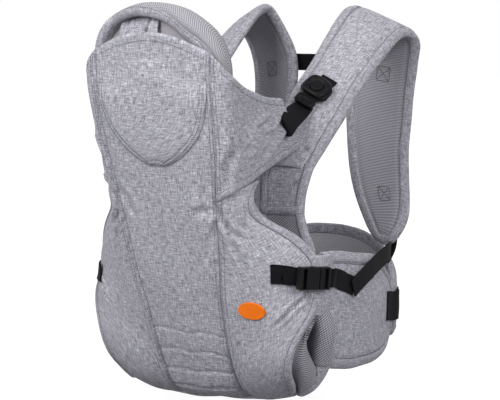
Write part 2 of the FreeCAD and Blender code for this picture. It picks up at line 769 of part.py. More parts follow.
def latch_words():
    """Expressions that the three pieces of a corner buckle share."""
    words = {"wide": "Sizes.latch_width", "long": "Sizes.latch_body_length"}
    words["high"] = "Sizes.latch_height"
    words["wall"] = "Sizes.buckle_wall"
    words["fit"] = "Sizes.moving_fit"
    words["travel"] = "Sizes.latch_travel"
    words["thick"] = "Sizes.latch_tongue_thickness"
    words["base"] = "Sizes.latch_base_length"
    words["button"] = "Sizes.button_diameter"
    words["press"] = "Sizes.button_travel"
    words["centre"] = "(Sizes.latch_body_length * 0.6)"
    words["tongue"] = "(Sizes.latch_width - 4 * Sizes.buckle_wall - 2 * Sizes.moving_fit)"
    return words


def corner_buckle_body(name):
    """Body on the strap: the latch enters at local X = 0, the button sits on top."""
    w = latch_words()
    body = new_body(name)
    block = pad(body, name + "_block", rectangle(
        body, name + "_outline", "0", "-%(wide)s / 2" % w, w["long"], w["wide"], "0"), w["high"])
    rounded(body, name + "_soft_edges", block, 1.6)
    pocket(body, name + "_tongue_way", rectangle(
        body, name + "_mouth", "-1", "-%(tongue)s / 2 - %(fit)s" % w,
        "%(travel)s + 2 * %(fit)s + 1" % w, "%(tongue)s + 2 * %(fit)s" % w,
        "%(wall)s + %(thick)s + 2 * %(fit)s" % w), "%(thick)s + 2 * %(fit)s" % w)
    pocket(body, name + "_button_well", circle(
        body, name + "_button_rim", w["centre"], "%(button)s + 2 * %(fit)s" % w, w["high"]),
        "%(press)s + 2" % w)
    return body


def corner_latch_body(name):
    """Latch: a webbing frame outside the mouth and a tongue inside it."""
    w = latch_words()
    body = new_body(name)
    block = pad(body, name + "_frame", rectangle(
        body, name + "_outline", "-%(fit)s - %(base)s" % w, "-%(wide)s / 2" % w, w["base"],
        w["wide"], "0"), "%(wall)s + %(thick)s + 2 * %(fit)s" % w)
    rounded(body, name + "_soft_edges", block, 1.2)
    pad(body, name + "_tongue", rectangle(
        body, name + "_tongue_outline", "-%(fit)s - 2" % w, "-%(tongue)s / 2" % w,
        "%(travel)s + 2" % w, w["tongue"], "%(wall)s + %(fit)s" % w), w["thick"])
    pocket(body, name + "_slot", rectangle(
        body, name + "_slot_outline", "-%(fit)s - %(base)s + Sizes.buckle_bar" % w,
        "-%(tongue)s / 2" % w, "Sizes.slot_length", w["tongue"], "%(high)s" % w), "%(high)s + 1" % w)
    return body


def corner_button_body(name):
    """Round press button: stands proud of the body by its travel."""
    w = latch_words()
    body = new_body(name)
    disc = pad(body, name + "_disc", circle(
        body, name + "_outline", w["centre"], w["button"], "%(high)s - 2 + %(fit)s" % w),
        "2 + %(press)s - %(fit)s" % w)
    rounded(body, name + "_soft_edges", disc, 0.9)
    return body


def adjuster_body(name):
    """Ladder adjuster: two webbing slots; it tilts about the bar at local X = 0."""
    body = new_body(name)
    width = "(Sizes.webbing_width + 2 * Sizes.buckle_rim)"
    slot_width = "(Sizes.webbing_width + 2 * Sizes.moving_fit)"
    block = pad(body, name + "_plate", rectangle(
        body, name + "_outline", "0", "-%s / 2" % width, "Sizes.adjuster_length", width, "0"),
        "Sizes.adjuster_height")
    rounded(body, name + "_soft_edges", block, 1.2)
    for title, left in (("near", "Sizes.buckle_bar"),
                        ("far", "Sizes.adjuster_length - Sizes.buckle_bar - Sizes.slot_length")):
        pocket(body, name + "_slot_" + title, rectangle(
            body, name + "_slot_outline_" + title, left, "-%s / 2" % slot_width,
            "Sizes.slot_length", slot_width, "Sizes.adjuster_height + 1"),
            "Sizes.adjuster_height + 2")
    return body


# ---------------------------------------------------------------- side buckles
placements = {}


def add_hardware_pair(name, body, placement):
    """Moulded piece on the +X side and its mirror image."""
    placements[name] = placement
    add_body(body, placement)
    body.Label = name + "_right"
    add_mirror(body, name + "_left")


# Each side's webbing line, drawn as if on the +X side. The right one is drawn up short, with its
# buckle in front of the panel's edge; the left one is let out, with its buckle over the belt.
SIDE_LINES = {
    "right": {
        "socket": (148, -210, 71), "clip": (167, -166, 67), "ride": 10.8,
        "anchor": [(129, -226, 73), (139, -219, 73), (148, -210, 71)], "over": [],
        "sliding": [(172, -153, 63), (172, -144, 60), (173, -134, 56)],
        "fixed": [(172, -142, 58), (173, -130, 54), (173, -119, 50), (173, -108, 45)],
        "rising": [(173, -116, 44), (170, -92, 53), (165, -66, 60), (160, -42, 65)],
        "span": [(159, -16, 69), (150, 12, 71), (136, 35, 66), (121, 56, 57)],
    },
    "left": {
        "socket": (174, -159, 41), "clip": (174, -110, 42), "ride": 1.0,
        "anchor": [(147, -210, 43), (157, -203, 42), (166, -191, 41)], "over": [(177, -180, 41), (176, -168, 41)],
        "sliding": [(172, -99, 43), (172, -95, 43), (172, -91, 43)],
        "fixed": [(172, -98, 43), (171, -86, 44), (170, -74, 45), (168, -64, 46)],
        "rising": [(168, -70, 46), (165, -56, 53), (162, -42, 60)],
        "span": [(159, -16, 68), (150, 12, 71), (136, 35, 66), (121, 56, 57)],
    },
}


# A webbing runs straight on for this far where it leaves a moulded piece.
WEBBING_LEAD = 6.0


def to_side(vector, side):
    """A vector drawn on the +X side, on its own side."""
    return vector if side == "right" else V(-vector.x, vector.y, vector.z)


def shape_to_side(shape, side):
    return shape if side == "right" else mirrored(shape)


def build_side_buckles():
    sewn_down = []
    for side, line in SIDE_LINES.items():
        along = (graded(*line["clip"]) - graded(*line["socket"])).normalize()
        normal = along.cross(UP).normalize()
        near = hip_surface if line["over"] == [] else belt_surface
        start = nearest_on(near, graded(*line["socket"]), moving_lift, RIGHT)[0]
        start = start + normal * line["ride"]
        place = frame(to_side(start, side), to_side(along, side), to_side(normal, side))
        for kind, build in (("side_socket_", socket_body), ("side_clip_", clip_body)):
            placements[kind + side] = place
            add_body(build(kind + side, "webbing_width"), place)
        lift = moving_lift if line["over"] else fixed_lift
        anchor = resting(hip_surface, graded_row(line["anchor"]), 5, lift, FRONT)
        if line["over"]:
            over = graded_row(line["over"]) + [start + normal - along * gap]
            anchor += hanging(over, [normal] * len(over))
        sewn_anchors.append(shape_to_side(webbing(anchor, wide, RIGHT), side))
        leave = start + along * (closed_length() + 3 * gap) + normal * (size("socket_height") / 2.0)
        sliding = hanging([leave, leave + along * WEBBING_LEAD], [normal, normal])
        sliding += resting(belt_surface, graded_row(line["sliding"]), 4, moving_lift, RIGHT)
        add_shape("side_clip_webbing_" + side, shape_to_side(webbing(sliding, wide, RIGHT), side))
        fixed = resting(belt_surface, graded_row(line["fixed"]), 7, fixed_lift, RIGHT)
        sewn_down.append(shape_to_side(webbing(fixed, wide, RIGHT), side))
    add_group("side_webbing", sewn_down)


# ---------------------------------------------------------------- strap tips
ADJUSTER_AT, TIP_AT = (113, 70, 100), (119, 62, 74)
TIP_ANCHOR_REACH = (2, 14, 26)


def build_strap_tips():
    lines = []
    for side, line in SIDE_LINES.items():
        low = [nearest_on(belt_surface, graded(*guide), moving_lift + tape, RIGHT)
               for guide in line["rising"]]
        stations = hanging([point for point, _ in low], [normal for _, normal in low])
        stations += hanging(graded_row(line["span"]),
                            [V(x, y, 0).normalize() for x, y, _ in line["span"]])
        lines.append(shape_to_side(webbing(stations, wide, RIGHT), side))
    add_group("tip_webbing", lines)
    start, normal = nearest_on(strap_surface, graded(*ADJUSTER_AT), moving_lift, BACK)
    along = graded(*TIP_AT) - graded(*ADJUSTER_AT)
    along = (along - normal * along.dot(normal)).normalize()
    add_hardware_pair("tip_adjuster", adjuster_body("tip_adjuster"), frame(start, along, normal))
    guides = [start - along * reach for reach in TIP_ANCHOR_REACH]
    add_anchor_pair(resting(strap_surface, guides, 4, fixed_lift, BACK), BACK)


# ---------------------------------------------------------------- corner buckles
CORNER_AT, CORNER_FROM = (100, -84, 282), (93, -103, 264)
CORNER_ON_WING = [(104, -164, 246), (104, -158, 247), (104, -152, 248)]
CORNER_FREE = [(103, -140, 251), (100, -129, 255)]
CORNER_ANCHOR_REACH = (8, 20, 32, 44)
# The loop stands off the wing so that it can slide with its latch.
LOOP_LIFT = 10.5


def build_corner_buckles():
    middle, normal = nearest_on(strap_surface, graded(*CORNER_AT), moving_lift + cover_crown, UP)
    along = graded(*CORNER_AT) - graded(*CORNER_FROM)
    along = (along - normal * along.dot(normal)).normalize()
    start = middle - along * (size("latch_body_length") / 2.0)
    place = frame(start, along, normal)
    add_hardware_pair("corner_buckle", corner_buckle_body("corner_buckle"), place)
    add_hardware_pair("corner_latch", corner_latch_body("corner_latch"), place)
    add_hardware_pair("corner_button", corner_button_body("corner_button"), place)
    guides = [start + along * reach for reach in CORNER_ANCHOR_REACH]
    add_anchor_pair(resting(strap_surface, guides, 6, fixed_lift, UP), UP)
    wing_surface = net_surface(wing_net)
    stations = resting(wing_surface, graded_row(CORNER_ON_WING), 3, LOOP_LIFT, RIGHT)
    turned = [(RIGHT * 2 + normal).normalize(), (RIGHT + normal * 2).normalize()]
    free = [guide + lean * LOOP_LIFT for guide, lean in zip(graded_row(CORNER_FREE), turned)]
    end = place.multVec(V(-size("latch_base_length") - size("moving_fit") - gap * 2, 0, tape))
    stations += hanging(free + [end - along * WEBBING_LEAD, end], turned + [normal, normal])
    add_pair("corner_loop", webbing(stations, wide, RIGHT))


# ---------------------------------------------------------------- chest strap across the back
CHEST_HEIGHT, CHEST_BACK = 306, 97
CHEST_SEWN = (82, 54)
CLIP_WEBBING_REACH = (0, 10, 20)


def fixed_ends():
    """Where the two fixed webbings of a buckle end: clear of the clip's travel, and at the socket."""
    half = closed_length() / 2.0
    return half + size("clip_travel") + 2 * size("moving_fit"), half + gap


def build_chest_strap():
    centre = graded(0, CHEST_BACK, CHEST_HEIGHT)
    half = closed_length() / 2.0
    place = frame(centre - RIGHT * half, RIGHT, BACK)
    placements["chest"] = place
    add_body(socket_body("chest_socket", "webbing_width"), place)
    add_body(clip_body("chest_clip", "webbing_width"), place)
    guides = [graded(x, CHEST_BACK, CHEST_HEIGHT) for x in CHEST_SEWN]
    sewn = resting(strap_surface, guides, 5, fixed_lift + cover_crown, BACK)
    rest, lean = sewn[-1][0], sewn[-1][1]
    halves = []
    for end in fixed_ends():
        halfway = V((end + rest.x) / 2.0, (centre.y + rest.y) / 2.0, centre.z)
        free = hanging([halfway, V(end, centre.y, centre.z)], [(lean + BACK).normalize(), BACK])
        halves.append(webbing(sewn + free, wide, BACK))
    add_group("chest_webbing", [halves[0], mirrored(halves[1])])
    lifted = centre.y + moving_lift
    path = [V(half + gap + reach, lifted, centre.z) for reach in CLIP_WEBBING_REACH]
    add_shape("chest_clip_webbing", webbing(hanging(path, [BACK] * 3), wide, BACK))


# ---------------------------------------------------------------- waist webbing and its buckle
WAIST_WING = [(151, 0, 0), (150, 9, -1), (149, 18, -3)]
WAIST_FREE = (150, 33, -4)
WAIST_BACK = [(137, 54, -6), (121, 77, -8), (97, 96, -8), (70, 109, -8)]
WAIST_CLIP_REACH = (0, 14, 28)


def build_waist_buckle():
    half = closed_length() / 2.0
    middle = nearest_on(lumbar_surface, graded(0, 121, -8), moving_lift + tape, BACK)[0]
    place = frame(middle - RIGHT * half, RIGHT, BACK)
    placements["waist"] = place
    add_body(socket_body("waist_socket", "waist_webbing_width"), place)
    add_body(clip_body("waist_clip", "waist_webbing_width"), place)
    on_wing = resting(belt_surface, graded_row(WAIST_WING), 3, fixed_lift, RIGHT)
    out = V(WAIST_FREE[0], WAIST_FREE[1], 0).normalize()
    span = hanging([graded(*WAIST_FREE) + out * fixed_lift], [out])
    halves = []
    for end in fixed_ends():
        guides = graded_row(WAIST_BACK) + [V(end, middle.y, middle.z)]
        on_pad = resting(lumbar_surface, guides, 14, fixed_lift, BACK)
        halves.append(webbing(on_wing + span + on_pad, waist_wide, RIGHT))
    add_group("waist_webbing", [halves[0], mirrored(halves[1])])
    guides = [V(half + gap + reach, middle.y, middle.z) for reach in WAIST_CLIP_REACH]
    add_shape("waist_clip_webbing", webbing(
        resting(lumbar_surface, guides, 4, moving_lift, BACK), waist_wide, BACK))


def build_anchors():
    """Short webbings sewn down under the buckles, three on each side."""
    add_group("sewn_anchors", sewn_anchors)


# ---------------------------------------------------------------- label
LABEL_AT = (103, -227, 26)


def build_label():
    point, normal = nearest_on(hip_surface, graded(*LABEL_AT), gap + size("moving_fit"), FRONT)
    along = UP.cross(normal).normalize()
    outline = Part.Ellipse(V(0, 0, 0), size("label_length") / 2.0, size("label_height") / 2.0)
    disc = Part.Face(Part.Wire(outline.toShape())).extrude(V(0, 0, size("label_thickness")))
    disc = disc.makeFillet(size("label_thickness") * 0.35, [disc.Edges[-1]])
    add_shape("oval_label", disc).Placement = frame(point, along, normal)


for builder in (build_front, build_head_patch, build_hood, build_straps, build_belt, build_seat,
                build_bindings, build_side_buckles, build_strap_tips, build_corner_buckles,
                build_chest_strap, build_waist_buckle, build_anchors, build_label):
    builder()


# ---------------------------------------------------------------- checks and files
def check_document():
    doc.recompute()
    for item in doc.Objects:
        if "Invalid" in item.State or "Error" in item.State:
            raise RuntimeError("%s failed: %s" % (item.Name, item.State))
    for piece in sub_parts:
        if piece.Shape.isNull() or not piece.Shape.isValid() or piece.Shape.Volume <= 0:
            raise RuntimeError("%s has no valid shape" % piece.Label)


check_document()
os.makedirs("parts", exist_ok=True)
for piece in sub_parts:
    piece.Shape.exportStep("parts/%s.step" % piece.Label)
for name, place in placements.items():
    turn = place.Rotation
    print(name, place.Base, turn.multVec(RIGHT), turn.multVec(V(0, 1, 0)), turn.multVec(UP))
print(len(sub_parts), "nodes")
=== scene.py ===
"""Looks of the soft structured baby carrier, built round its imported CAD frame.

Metres, in the frame's axes: -Y is the front, +Z is up, and the origin is the middle of the waist
loop. The pattern tables below are in millimetres. They follow the CAD pattern, and leave it where
the worn cloth of the photograph does.
"""
import json
import math

import bmesh
import bpy
import numpy as np
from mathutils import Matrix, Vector
from mathutils.bvhtree import BVHTree


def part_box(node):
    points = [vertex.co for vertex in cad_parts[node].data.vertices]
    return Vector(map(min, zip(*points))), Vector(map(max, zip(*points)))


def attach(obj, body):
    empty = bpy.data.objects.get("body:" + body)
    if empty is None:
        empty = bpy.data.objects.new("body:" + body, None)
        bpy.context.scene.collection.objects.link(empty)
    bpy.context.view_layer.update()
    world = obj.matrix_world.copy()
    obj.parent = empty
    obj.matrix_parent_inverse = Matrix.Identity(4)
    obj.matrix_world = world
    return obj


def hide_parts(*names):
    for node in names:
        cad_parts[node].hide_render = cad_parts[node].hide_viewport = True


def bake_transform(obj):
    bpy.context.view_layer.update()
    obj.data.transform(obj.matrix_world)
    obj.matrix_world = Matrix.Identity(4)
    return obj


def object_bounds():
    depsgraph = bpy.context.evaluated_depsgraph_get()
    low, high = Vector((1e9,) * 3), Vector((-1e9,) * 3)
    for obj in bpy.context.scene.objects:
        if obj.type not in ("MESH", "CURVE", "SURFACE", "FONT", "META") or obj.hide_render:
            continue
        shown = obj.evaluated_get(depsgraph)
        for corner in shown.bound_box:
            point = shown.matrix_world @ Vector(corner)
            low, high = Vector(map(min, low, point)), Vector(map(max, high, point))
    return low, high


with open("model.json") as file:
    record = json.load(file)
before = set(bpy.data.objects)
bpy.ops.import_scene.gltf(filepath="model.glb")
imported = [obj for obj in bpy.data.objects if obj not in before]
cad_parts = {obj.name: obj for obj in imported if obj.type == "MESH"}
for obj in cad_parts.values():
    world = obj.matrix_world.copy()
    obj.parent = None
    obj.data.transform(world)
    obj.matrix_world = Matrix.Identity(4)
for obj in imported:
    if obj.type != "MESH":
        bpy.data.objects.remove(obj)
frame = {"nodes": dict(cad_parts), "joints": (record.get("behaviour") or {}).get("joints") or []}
cad_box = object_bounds()

MM = 0.001
TINY = 1e-9
ROOT = "carrier"
SIDES = (("right", 1.0), ("left", -1.0))
SIDE_EDGES = ("left", "right")
FRONT = (0, -1, 0)
# How far the -X side of the pouch hangs lower, which way, and the stretches over which it does.
SAG_DROP, SAG_PULL = 0.014, (0.35, 0.0, 1.0)
SAG_REACH, SAG_TOP, SAG_DEPTH, SAG_BACK, SAG_FADE = 0.13, -0.02, 0.07, -0.13, 0.03
# Points of a dense curve for every given point, net pitches, and steps along seams and webbing.
SPLINE_DENSITY = 24
PADDED_PITCH, HIDDEN_PITCH = 0.0028, 0.003
SEAM_STEP, STRIP_STEP = 0.0025, 3 * MM
# Thickness of a quilted panel, of the hood's rim and of a padded band.
PANEL, HOOD_PADDING, PADDED = 0.0052, 0.0068, 0.0136
# Tape widths, how far a folded tape stands out, and how far a band thins towards its edge.
EDGE_TAPE, WIDE_TAPE, TAPE_REACH, EDGE_DROP = 0.009, 0.010, 0.0022, 0.0032
# Shares down the hip panel where the armhole tape ends and where the leg opening starts.
ARMHOLE_SHARE, LEG_SHARE = 0.52, 0.56
# Insets of the stitches beside the front seams and round the head patch.
TOP_STITCHES, PATCH_SEAMS = (0.0036, 0.0082), (0.003, 0.0075)

# ---------------------------------------------------------------- pattern tables, in millimetres
SEAM = [
    (88, -293, 337), (87, -291, 290), (84, -280, 226), (76, -265, 161), (70, -254, 108),
    (64, -241, 50), (60, -231, 15), (57, -217, -30), (54, -200, -62), (52, -183, -88),
    (50, -160, -104),
]
MIDDLE_ROWS = [
    [(0, -297, 359), (50, -297, 351)],
    [(0, -291, 300), (46, -292, 296)],
    [(0, -284, 230), (45, -284, 228)],
    [(0, -271, 162), (40, -270, 161)],
    [(0, -258, 105), (36, -257, 106)],
    [(0, -243, 45), (33, -243, 47)],
    [(0, -232, 8), (31, -232, 11)],
    [(0, -217, -36), (30, -217, -34)],
    [(0, -204, -68), (28, -203, -66)],
    [(0, -188, -94), (27, -187, -92)],
    [(0, -163, -108), (26, -162, -107)],
]
WING_ROWS = [
    [(88, -293, 337), (104, -288, 322), (112, -272, 307), (110, -240, 292),
     (108, -205, 282), (104, -164, 277)],
    [(87, -291, 290), (103, -285, 280), (110, -268, 268), (108, -232, 258),
     (106, -190, 253), (104, -153, 256)],
    [(84, -280, 226), (98, -273, 222), (106, -256, 220), (107, -225, 222),
     (105, -185, 228), (104, -140, 236)],
    [(76, -265, 161), (92, -262, 170), (104, -246, 180), (105, -215, 191),
     (105, -175, 204), (104, -128, 217)],
]
HIP_ROWS = [
    [(76, -265, 161), (88, -262, 167), (99, -254, 173), (106, -240, 178), (107, -220, 183)],
    [(75, -262, 150), (87, -260, 152), (98, -254, 156), (106, -246, 160), (110, -236, 164)],
    [(73, -259, 134), (87, -256, 136), (99, -249, 139), (107, -241, 144), (113, -231, 148)],
    [(71, -255, 114), (90, -250, 115), (108, -239, 118), (121, -227, 124), (131, -212, 129)],
    [(69, -250, 92), (94, -244, 92), (119, -231, 94), (140, -214, 100), (154, -195, 110)],
    [(66, -245, 68), (97, -239, 67), (127, -226, 67), (150, -209, 72), (167, -184, 88)],
    [(63, -239, 42), (98, -232, 41), (130, -221, 40), (154, -207, 40), (171, -185, 46)],
    [(60, -231, 15), (97, -226, 14), (129, -220, 13), (153, -210, 16), (170, -197, 23)],
    [(58, -222, -12), (93, -221, -12), (122, -220, -9), (143, -217, -6), (160, -212, -4)],
    [(56, -212, -36), (86, -215, -35), (113, -218, -34), (133, -218, -33), (150, -215, -33)],
    [(54, -201, -60), (77, -205, -60), (101, -208, -59), (122, -208, -58), (143, -205, -56)],
    [(52, -184, -86), (73, -187, -85), (95, -190, -82), (117, -192, -77), (138, -191, -70)],
    [(50, -160, -104), (70, -163, -102), (91, -167, -98), (111, -171, -92), (130, -177, -84)],
]
PATCH_ROWS = [
    (335, 80), (312, 82), (285, 82), (260, 77), (240, 67), (222, 51), (207, 31), (199, 12),
]
HOOD_BAND = [
    [(-88, -281, 302), (-93, -279, 303), (-96, -270, 303), (-92, -252, 301)],
    [(-86, -284, 322), (-91, -283, 323), (-96, -273, 323), (-92, -252, 320)],
    [(-82, -286, 340), (-87, -287, 342), (-93, -276, 341), (-88, -252, 336)],
    [(-74, -287, 355), (-79, -289, 358), (-86, -278, 355), (-80, -252, 349)],
    [(-59, -287, 369), (-64, -290, 373), (-69, -279, 374), (-64, -253, 366)],
    [(-35, -287, 379), (-37, -290, 385), (-41, -280, 389), (-38, -254, 381)],
    [(-8, -287, 381), (-6, -290, 389), (-4, -280, 395), (-3, -254, 387)],
    [(18, -287, 375), (25, -290, 384), (33, -280, 390), (32, -254, 383)],
    [(38, -287, 363), (50, -290, 373), (60, -279, 378), (57, -253, 371)],
    [(54, -286, 352), (68, -288, 361), (80, -278, 363), (75, -252, 357)],
    [(68, -285, 343), (81, -286, 346), (91, -277, 346), (86, -252, 340)],
    [(79, -284, 328), (88, -283, 330), (96, -274, 328), (91, -252, 324)],
    [(86, -281, 306), (92, -279, 307), (97, -270, 306), (93, -252, 303)],
]
LINING_ROWS = [(255, 84), (285, 88), (312, 87), (335, 81), (354, 70), (368, 54), (379, 24)]
LINING_DEPTHS = ((0.0, -279), (0.55, -279), (1.0, -277))
TAB_ROWS = [[(-55, -281, 350), (-24, -283, 351), (4, -283, 352)],
            [(-55, -279, 364), (-24, -280, 369), (4, -281, 370)],
            [(-54, -272, 377), (-24, -272, 382), (4, -272, 382)]]
STRAP_STATIONS = [
    ((92, -138, 192), (62, 15, -4), 0.75),
    ((96, -126, 218), (65, 20, -9), 0.80),
    ((102, -110, 245), (66, 20, -14), 0.82),
    ((105, -93, 266), (66, 19, -21), 0.84),
    ((105, -69, 289), (66, 18, -21), 0.84),
    ((105, -44, 308), (66, 18, -21), 0.84),
    ((105, -21, 326), (66, 21, -24), 0.86),
    ((105, 0, 342), (66, 23, -28), 0.88),
    ((105, 27, 361), (66, 23, -34), 0.91),
    ((105, 50, 371), (66, 24, -34), 0.93),
    ((105, 66, 371), (70, 27, -32), 0.98),
    ((102, 79, 362), (74, 27, -24), 1.00),
    ((97, 91, 344), (80, 24, -12), 1.00),
    ((91, 98, 322), (82, 21, -4), 1.00),
    ((87, 100, 298), (83, 22, 0), 1.00),
    ((84, 95, 262), (81, 28, 0), 1.00),
    ((85, 91, 230), (78, 28, 0), 0.97),
    ((88, 86, 197), (76, 24, 0), 0.92),
    ((95, 80, 159), (74, 18, 0), 0.89),
    ((105, 73, 128), (70, 12, 0), 0.83),
    ((113, 67, 104), (66, 8, 0), 0.70),
    ((117, 62, 84), (60, 4, 0), 0.48),
    ((118, 60, 72), (60, 3, 0), 0.28),
]
HARNESS_STATIONS = [
    ((93, -135, 198), (64, 14, -2), 0.98),
    ((91, -142, 180), (72, 10, 2), 1.03),
    ((90, -147, 154), (67, 8, 4), 0.95),
    ((90, -149, 134), (67, 6, 4), 0.95),
    ((97, -152, 112), (70, 4, 4), 1.02),
    ((107, -153, 90), (68, 0, 3), 1.08),
    ((107, -153, 64), (66, 0, 0), 1.08),
]
WING_BELT = [
    ((169, -166), 92, -46), ((170, -132), 89, -53), ((169, -100), 83, -59), ((165, -66), 77, -62),
    ((158, -32), 70, -65), ((152, -4), 59, -64), ((149, 13), 43, -57), ((147, 27), 18, -36),
]
LUMBAR_BELT = [
    ((0, 121), 77, -58), ((28, 119), 76, -58), ((56, 113), 72, -58), ((82, 103), 64, -58),
    ((103, 91), 54, -57), ((119, 77), 42, -54), ((131, 62), 26, -46), ((138, 48), 6, -28),
]
BELLY_BELT = [((0, -131), 84, -62), ((60, -133), 84, -62), ((110, -138), 84, -60),
              ((138, -143), 84, -54), ((151, -149), 84, -48)]
INNER_ROWS = [[(0, -144, 152), (42, -144, 152)], [(0, -142, 118), (50, -143, 118)],
              [(0, -132, 85), (62, -138, 85)]]
BARREL = ((1.0, 0.0), (0.66, 2.5), (0.33, 2.5), (0.0, 0.0))
SEAT_ROWS = [
    [(0, -160, -109), (60, -161, -105), (120, -171, -88)],
    [(0, -147, -112), (60, -147, -107), (116, -155, -93)],
    [(0, -133, -105), (60, -134, -102), (113, -141, -90)],
    [(0, -126, -86), (60, -127, -85), (109, -133, -80)],
    [(0, -125, -63), (60, -126, -63), (108, -131, -61)],
]
# Padded mesh round a leg opening, from the top of the opening down, drawn on the +X side. The
# front lip starts behind the bound edge of the side panel, the back lip ends over the belt.
LIP_BULGE = [(171, -187, 26), (165, -196, 12), (162, -202, -6), (161, -203, -22),
             (159, -199, -40), (156, -190, -57), (150, -180, -71), (139, -174, -83)]
LIP_CREASE = [(166, -184, 22), (157, -186, 5), (153, -186, -12), (154, -181, -28),
              (157, -175, -40), (159, -169, -52), (152, -167, -68), (140, -168, -80)]
BACK_LIP = [
    [(150, -166, 20), (157, -174, 24), (163, -179, 27), (167, -174, 28), (165, -165, 28)],
    [(146, -160, 2), (158, -169, 5), (170, -177, 8), (176, -171, 9), (172, -161, 10)],
    [(144, -157, -15), (156, -167, -13), (169, -174, -11), (177, -168, -11), (172, -160, -10)],
    [(144, -158, -29), (154, -166, -28), (164, -171, -28), (172, -165, -28), (169, -157, -28)],
    [(146, -158, -42), (156, -167, -42), (164, -166, -44), (169, -160, -43), (166, -153, -44)],
]
SEAT_SIDE = [
    [(150, -162, -38), (163, -170, -40), (172, -164, -39), (173, -157, -38), (165, -148, -38)],
    [(146, -160, -50), (160, -170, -50), (168, -163, -50), (168, -155, -50), (157, -146, -50)],
    [(138, -158, -62), (154, -169, -64), (161, -162, -64), (161, -153, -62), (147, -144, -62)],
    [(126, -158, -74), (144, -169, -78), (151, -162, -78), (150, -153, -75), (134, -145, -74)],
    [(114, -158, -82), (130, -170, -87), (134, -163, -89), (133, -154, -87), (120, -146, -84)],
]
# Side panel's end folded over the front of the belt, above the leg opening.
BELT_FOLD = [
    [(152, -196, 92), (167, -185, 93), (173, -172, 92), (168, -153, 91)],
    [(154, -199, 68), (170, -188, 68), (176, -173, 68), (171, -153, 68)],
    [(155, -201, 46), (172, -189, 46), (177, -174, 46), (172, -154, 46)],
    [(155, -203, 24), (168, -190, 22), (172, -176, 21), (169, -158, 20)],
]
ANCHOR_GUIDES = [(130, -227, 74), (137, -223, 74), (144, -219, 73), (152, -215, 72),
                 (161, -211, 71)]
# Folded loop of the corner buckle: its two edges, from the latch to the side wing and back.
LOOP_LEFT = [(84, -109, 270), (92, -132, 268), (107, -168, 261), (109, -176, 257),
             (105, -172, 254)]
LOOP_RIGHT = [(106, -103, 263), (110, -126, 252), (117, -158, 239), (117, -166, 234),
              (109, -164, 233)]
# Twisted end of a side webbing: its two edges, from the webbing up into the tip adjuster's slot.
TIP_LOW = [(124, 53.4, 46.1), (127, 57, 55), (129.5, 61, 66), (129, 65, 77), (127.5, 68, 85)]
TIP_HIGH = [(120.7, 60.4, 67.7), (115, 60.5, 70), (109, 61.5, 74), (105.5, 64, 79), (105.5, 67, 84)]
# Moulded parts of the corner buckle: name, moving body and CAD node (if any), shifts along it in
# metres, half its size in millimetres, squareness, and levels of (height, share of the outline).
BUCKLE_SOLIDS = (
    ("buckle_body_", "", "corner_buckle_", (0.0, 0.0), (15.5, 17), 3.4,
     [(0.0, 0.88), (0.8, 0.97), (3.0, 1.0), (6.8, 1.0), (8.6, 0.96), (9.6, 0.88), (10.2, 0.74),
      (10.3, 0.60), (9.6, 0.58), (9.4, 0.2)]),
    ("buckle_plate_", "", "", (-0.001, 0.0), (13.5, 19.5), 3.6,
     [(0.0, 0.9), (0.7, 1.0), (4.0, 1.0), (5.0, 0.94), (5.2, 0.5)]),
    ("buckle_button_", "_corner_button", "corner_button_", (0.0, 0.0), (8.6, 8.6), 2.0,
     [(8.0, 0.95), (10.2, 1.0), (10.8, 0.94), (11.1, 0.8), (11.3, 0.4)]),
    ("latch_frame_", "_corner_latch", "corner_latch_", (-0.0245, 0.0), (7.5, 13.5), 4.5,
     [(0.4, 0.9), (1.2, 1.0), (5.4, 1.0), (6.6, 0.93), (6.9, 0.84), (6.3, 0.76), (5.0, 0.72),
      (4.8, 0.3)]),
    ("latch_tongue_", "_corner_latch", "", (-0.0245, 0.008), (7, 10), 4.0,
     [(1.6, 0.9), (2.2, 1.0), (5.0, 1.0), (5.6, 0.9)]))
# Soft folds of the worn panels and quilting lines, as shares down and across each panel.
WING_FOLDS = (
    [(0.30, 0.80), (0.48, 0.55), (0.72, 0.30)], [(0.22, 0.98), (0.55, 0.78), (0.86, 0.52)],
    [(0.60, 0.20), (0.78, 0.12), (0.97, 0.10)], [(0.45, 1.0), (0.70, 0.85), (0.92, 0.75)])
HIP_FOLDS = (
    [(0.10, 0.30), (0.20, 0.24), (0.31, 0.26)], [(0.02, 0.12), (0.12, 0.20), (0.22, 0.42)],
    [(0.50, 0.95), (0.53, 0.75), (0.60, 0.60)])
MIDDLE_FOLDS = (
    [(0.40, 0.99), (0.415, 0.9), (0.43, 0.78)], [(0.46, 0.97), (0.50, 0.9), (0.56, 0.86)],
    [(0.36, 0.02), (0.40, 0.10), (0.46, 0.16)])
QUILT_LINES = (0.765, 0.825, 0.885, 0.94)
# Stitched boxes on the strap linings, as shares down the strap and across it.
BACK_BOX, TIP_BOX = ((0.602, 0.638), (0.41, 0.62)), ((0.876, 0.908), (0.46, 0.68))
MOULDED_WORDS = ("socket", "clip_right", "clip_left", "chest_clip", "waist_clip", "buckle",
                 "latch", "button", "adjuster")
# Camera's place, the point it looks at and its lens; lamps as name, place, aim, size and power.
CAMERA_AT, CAMERA_TO, LENS = (1.2805, -1.8525, 0.4432), (0.0, -0.090, 0.137), 121.8
LAMPS = (("key", (-0.2, -1.65, 1.2), (0, -0.15, 0.2), 1.0, 24.0),
         ("fill", (2.4, -1.2, 1.5), (0, -0.1, 0.1), 1.4, 40.0),
         ("rim", (0.6, 2.0, 2.1), (0, 0, 0.2), 1.4, 11.0))
WHITE = (1.0, 1.0, 1.0, 1.0)
# The floor lies this far under the carrier and reaches this far, and glows for the camera.
FLOOR_DROP, FLOOR_REACH, FLOOR_GLOW = 0.03, 6.0, 0.9


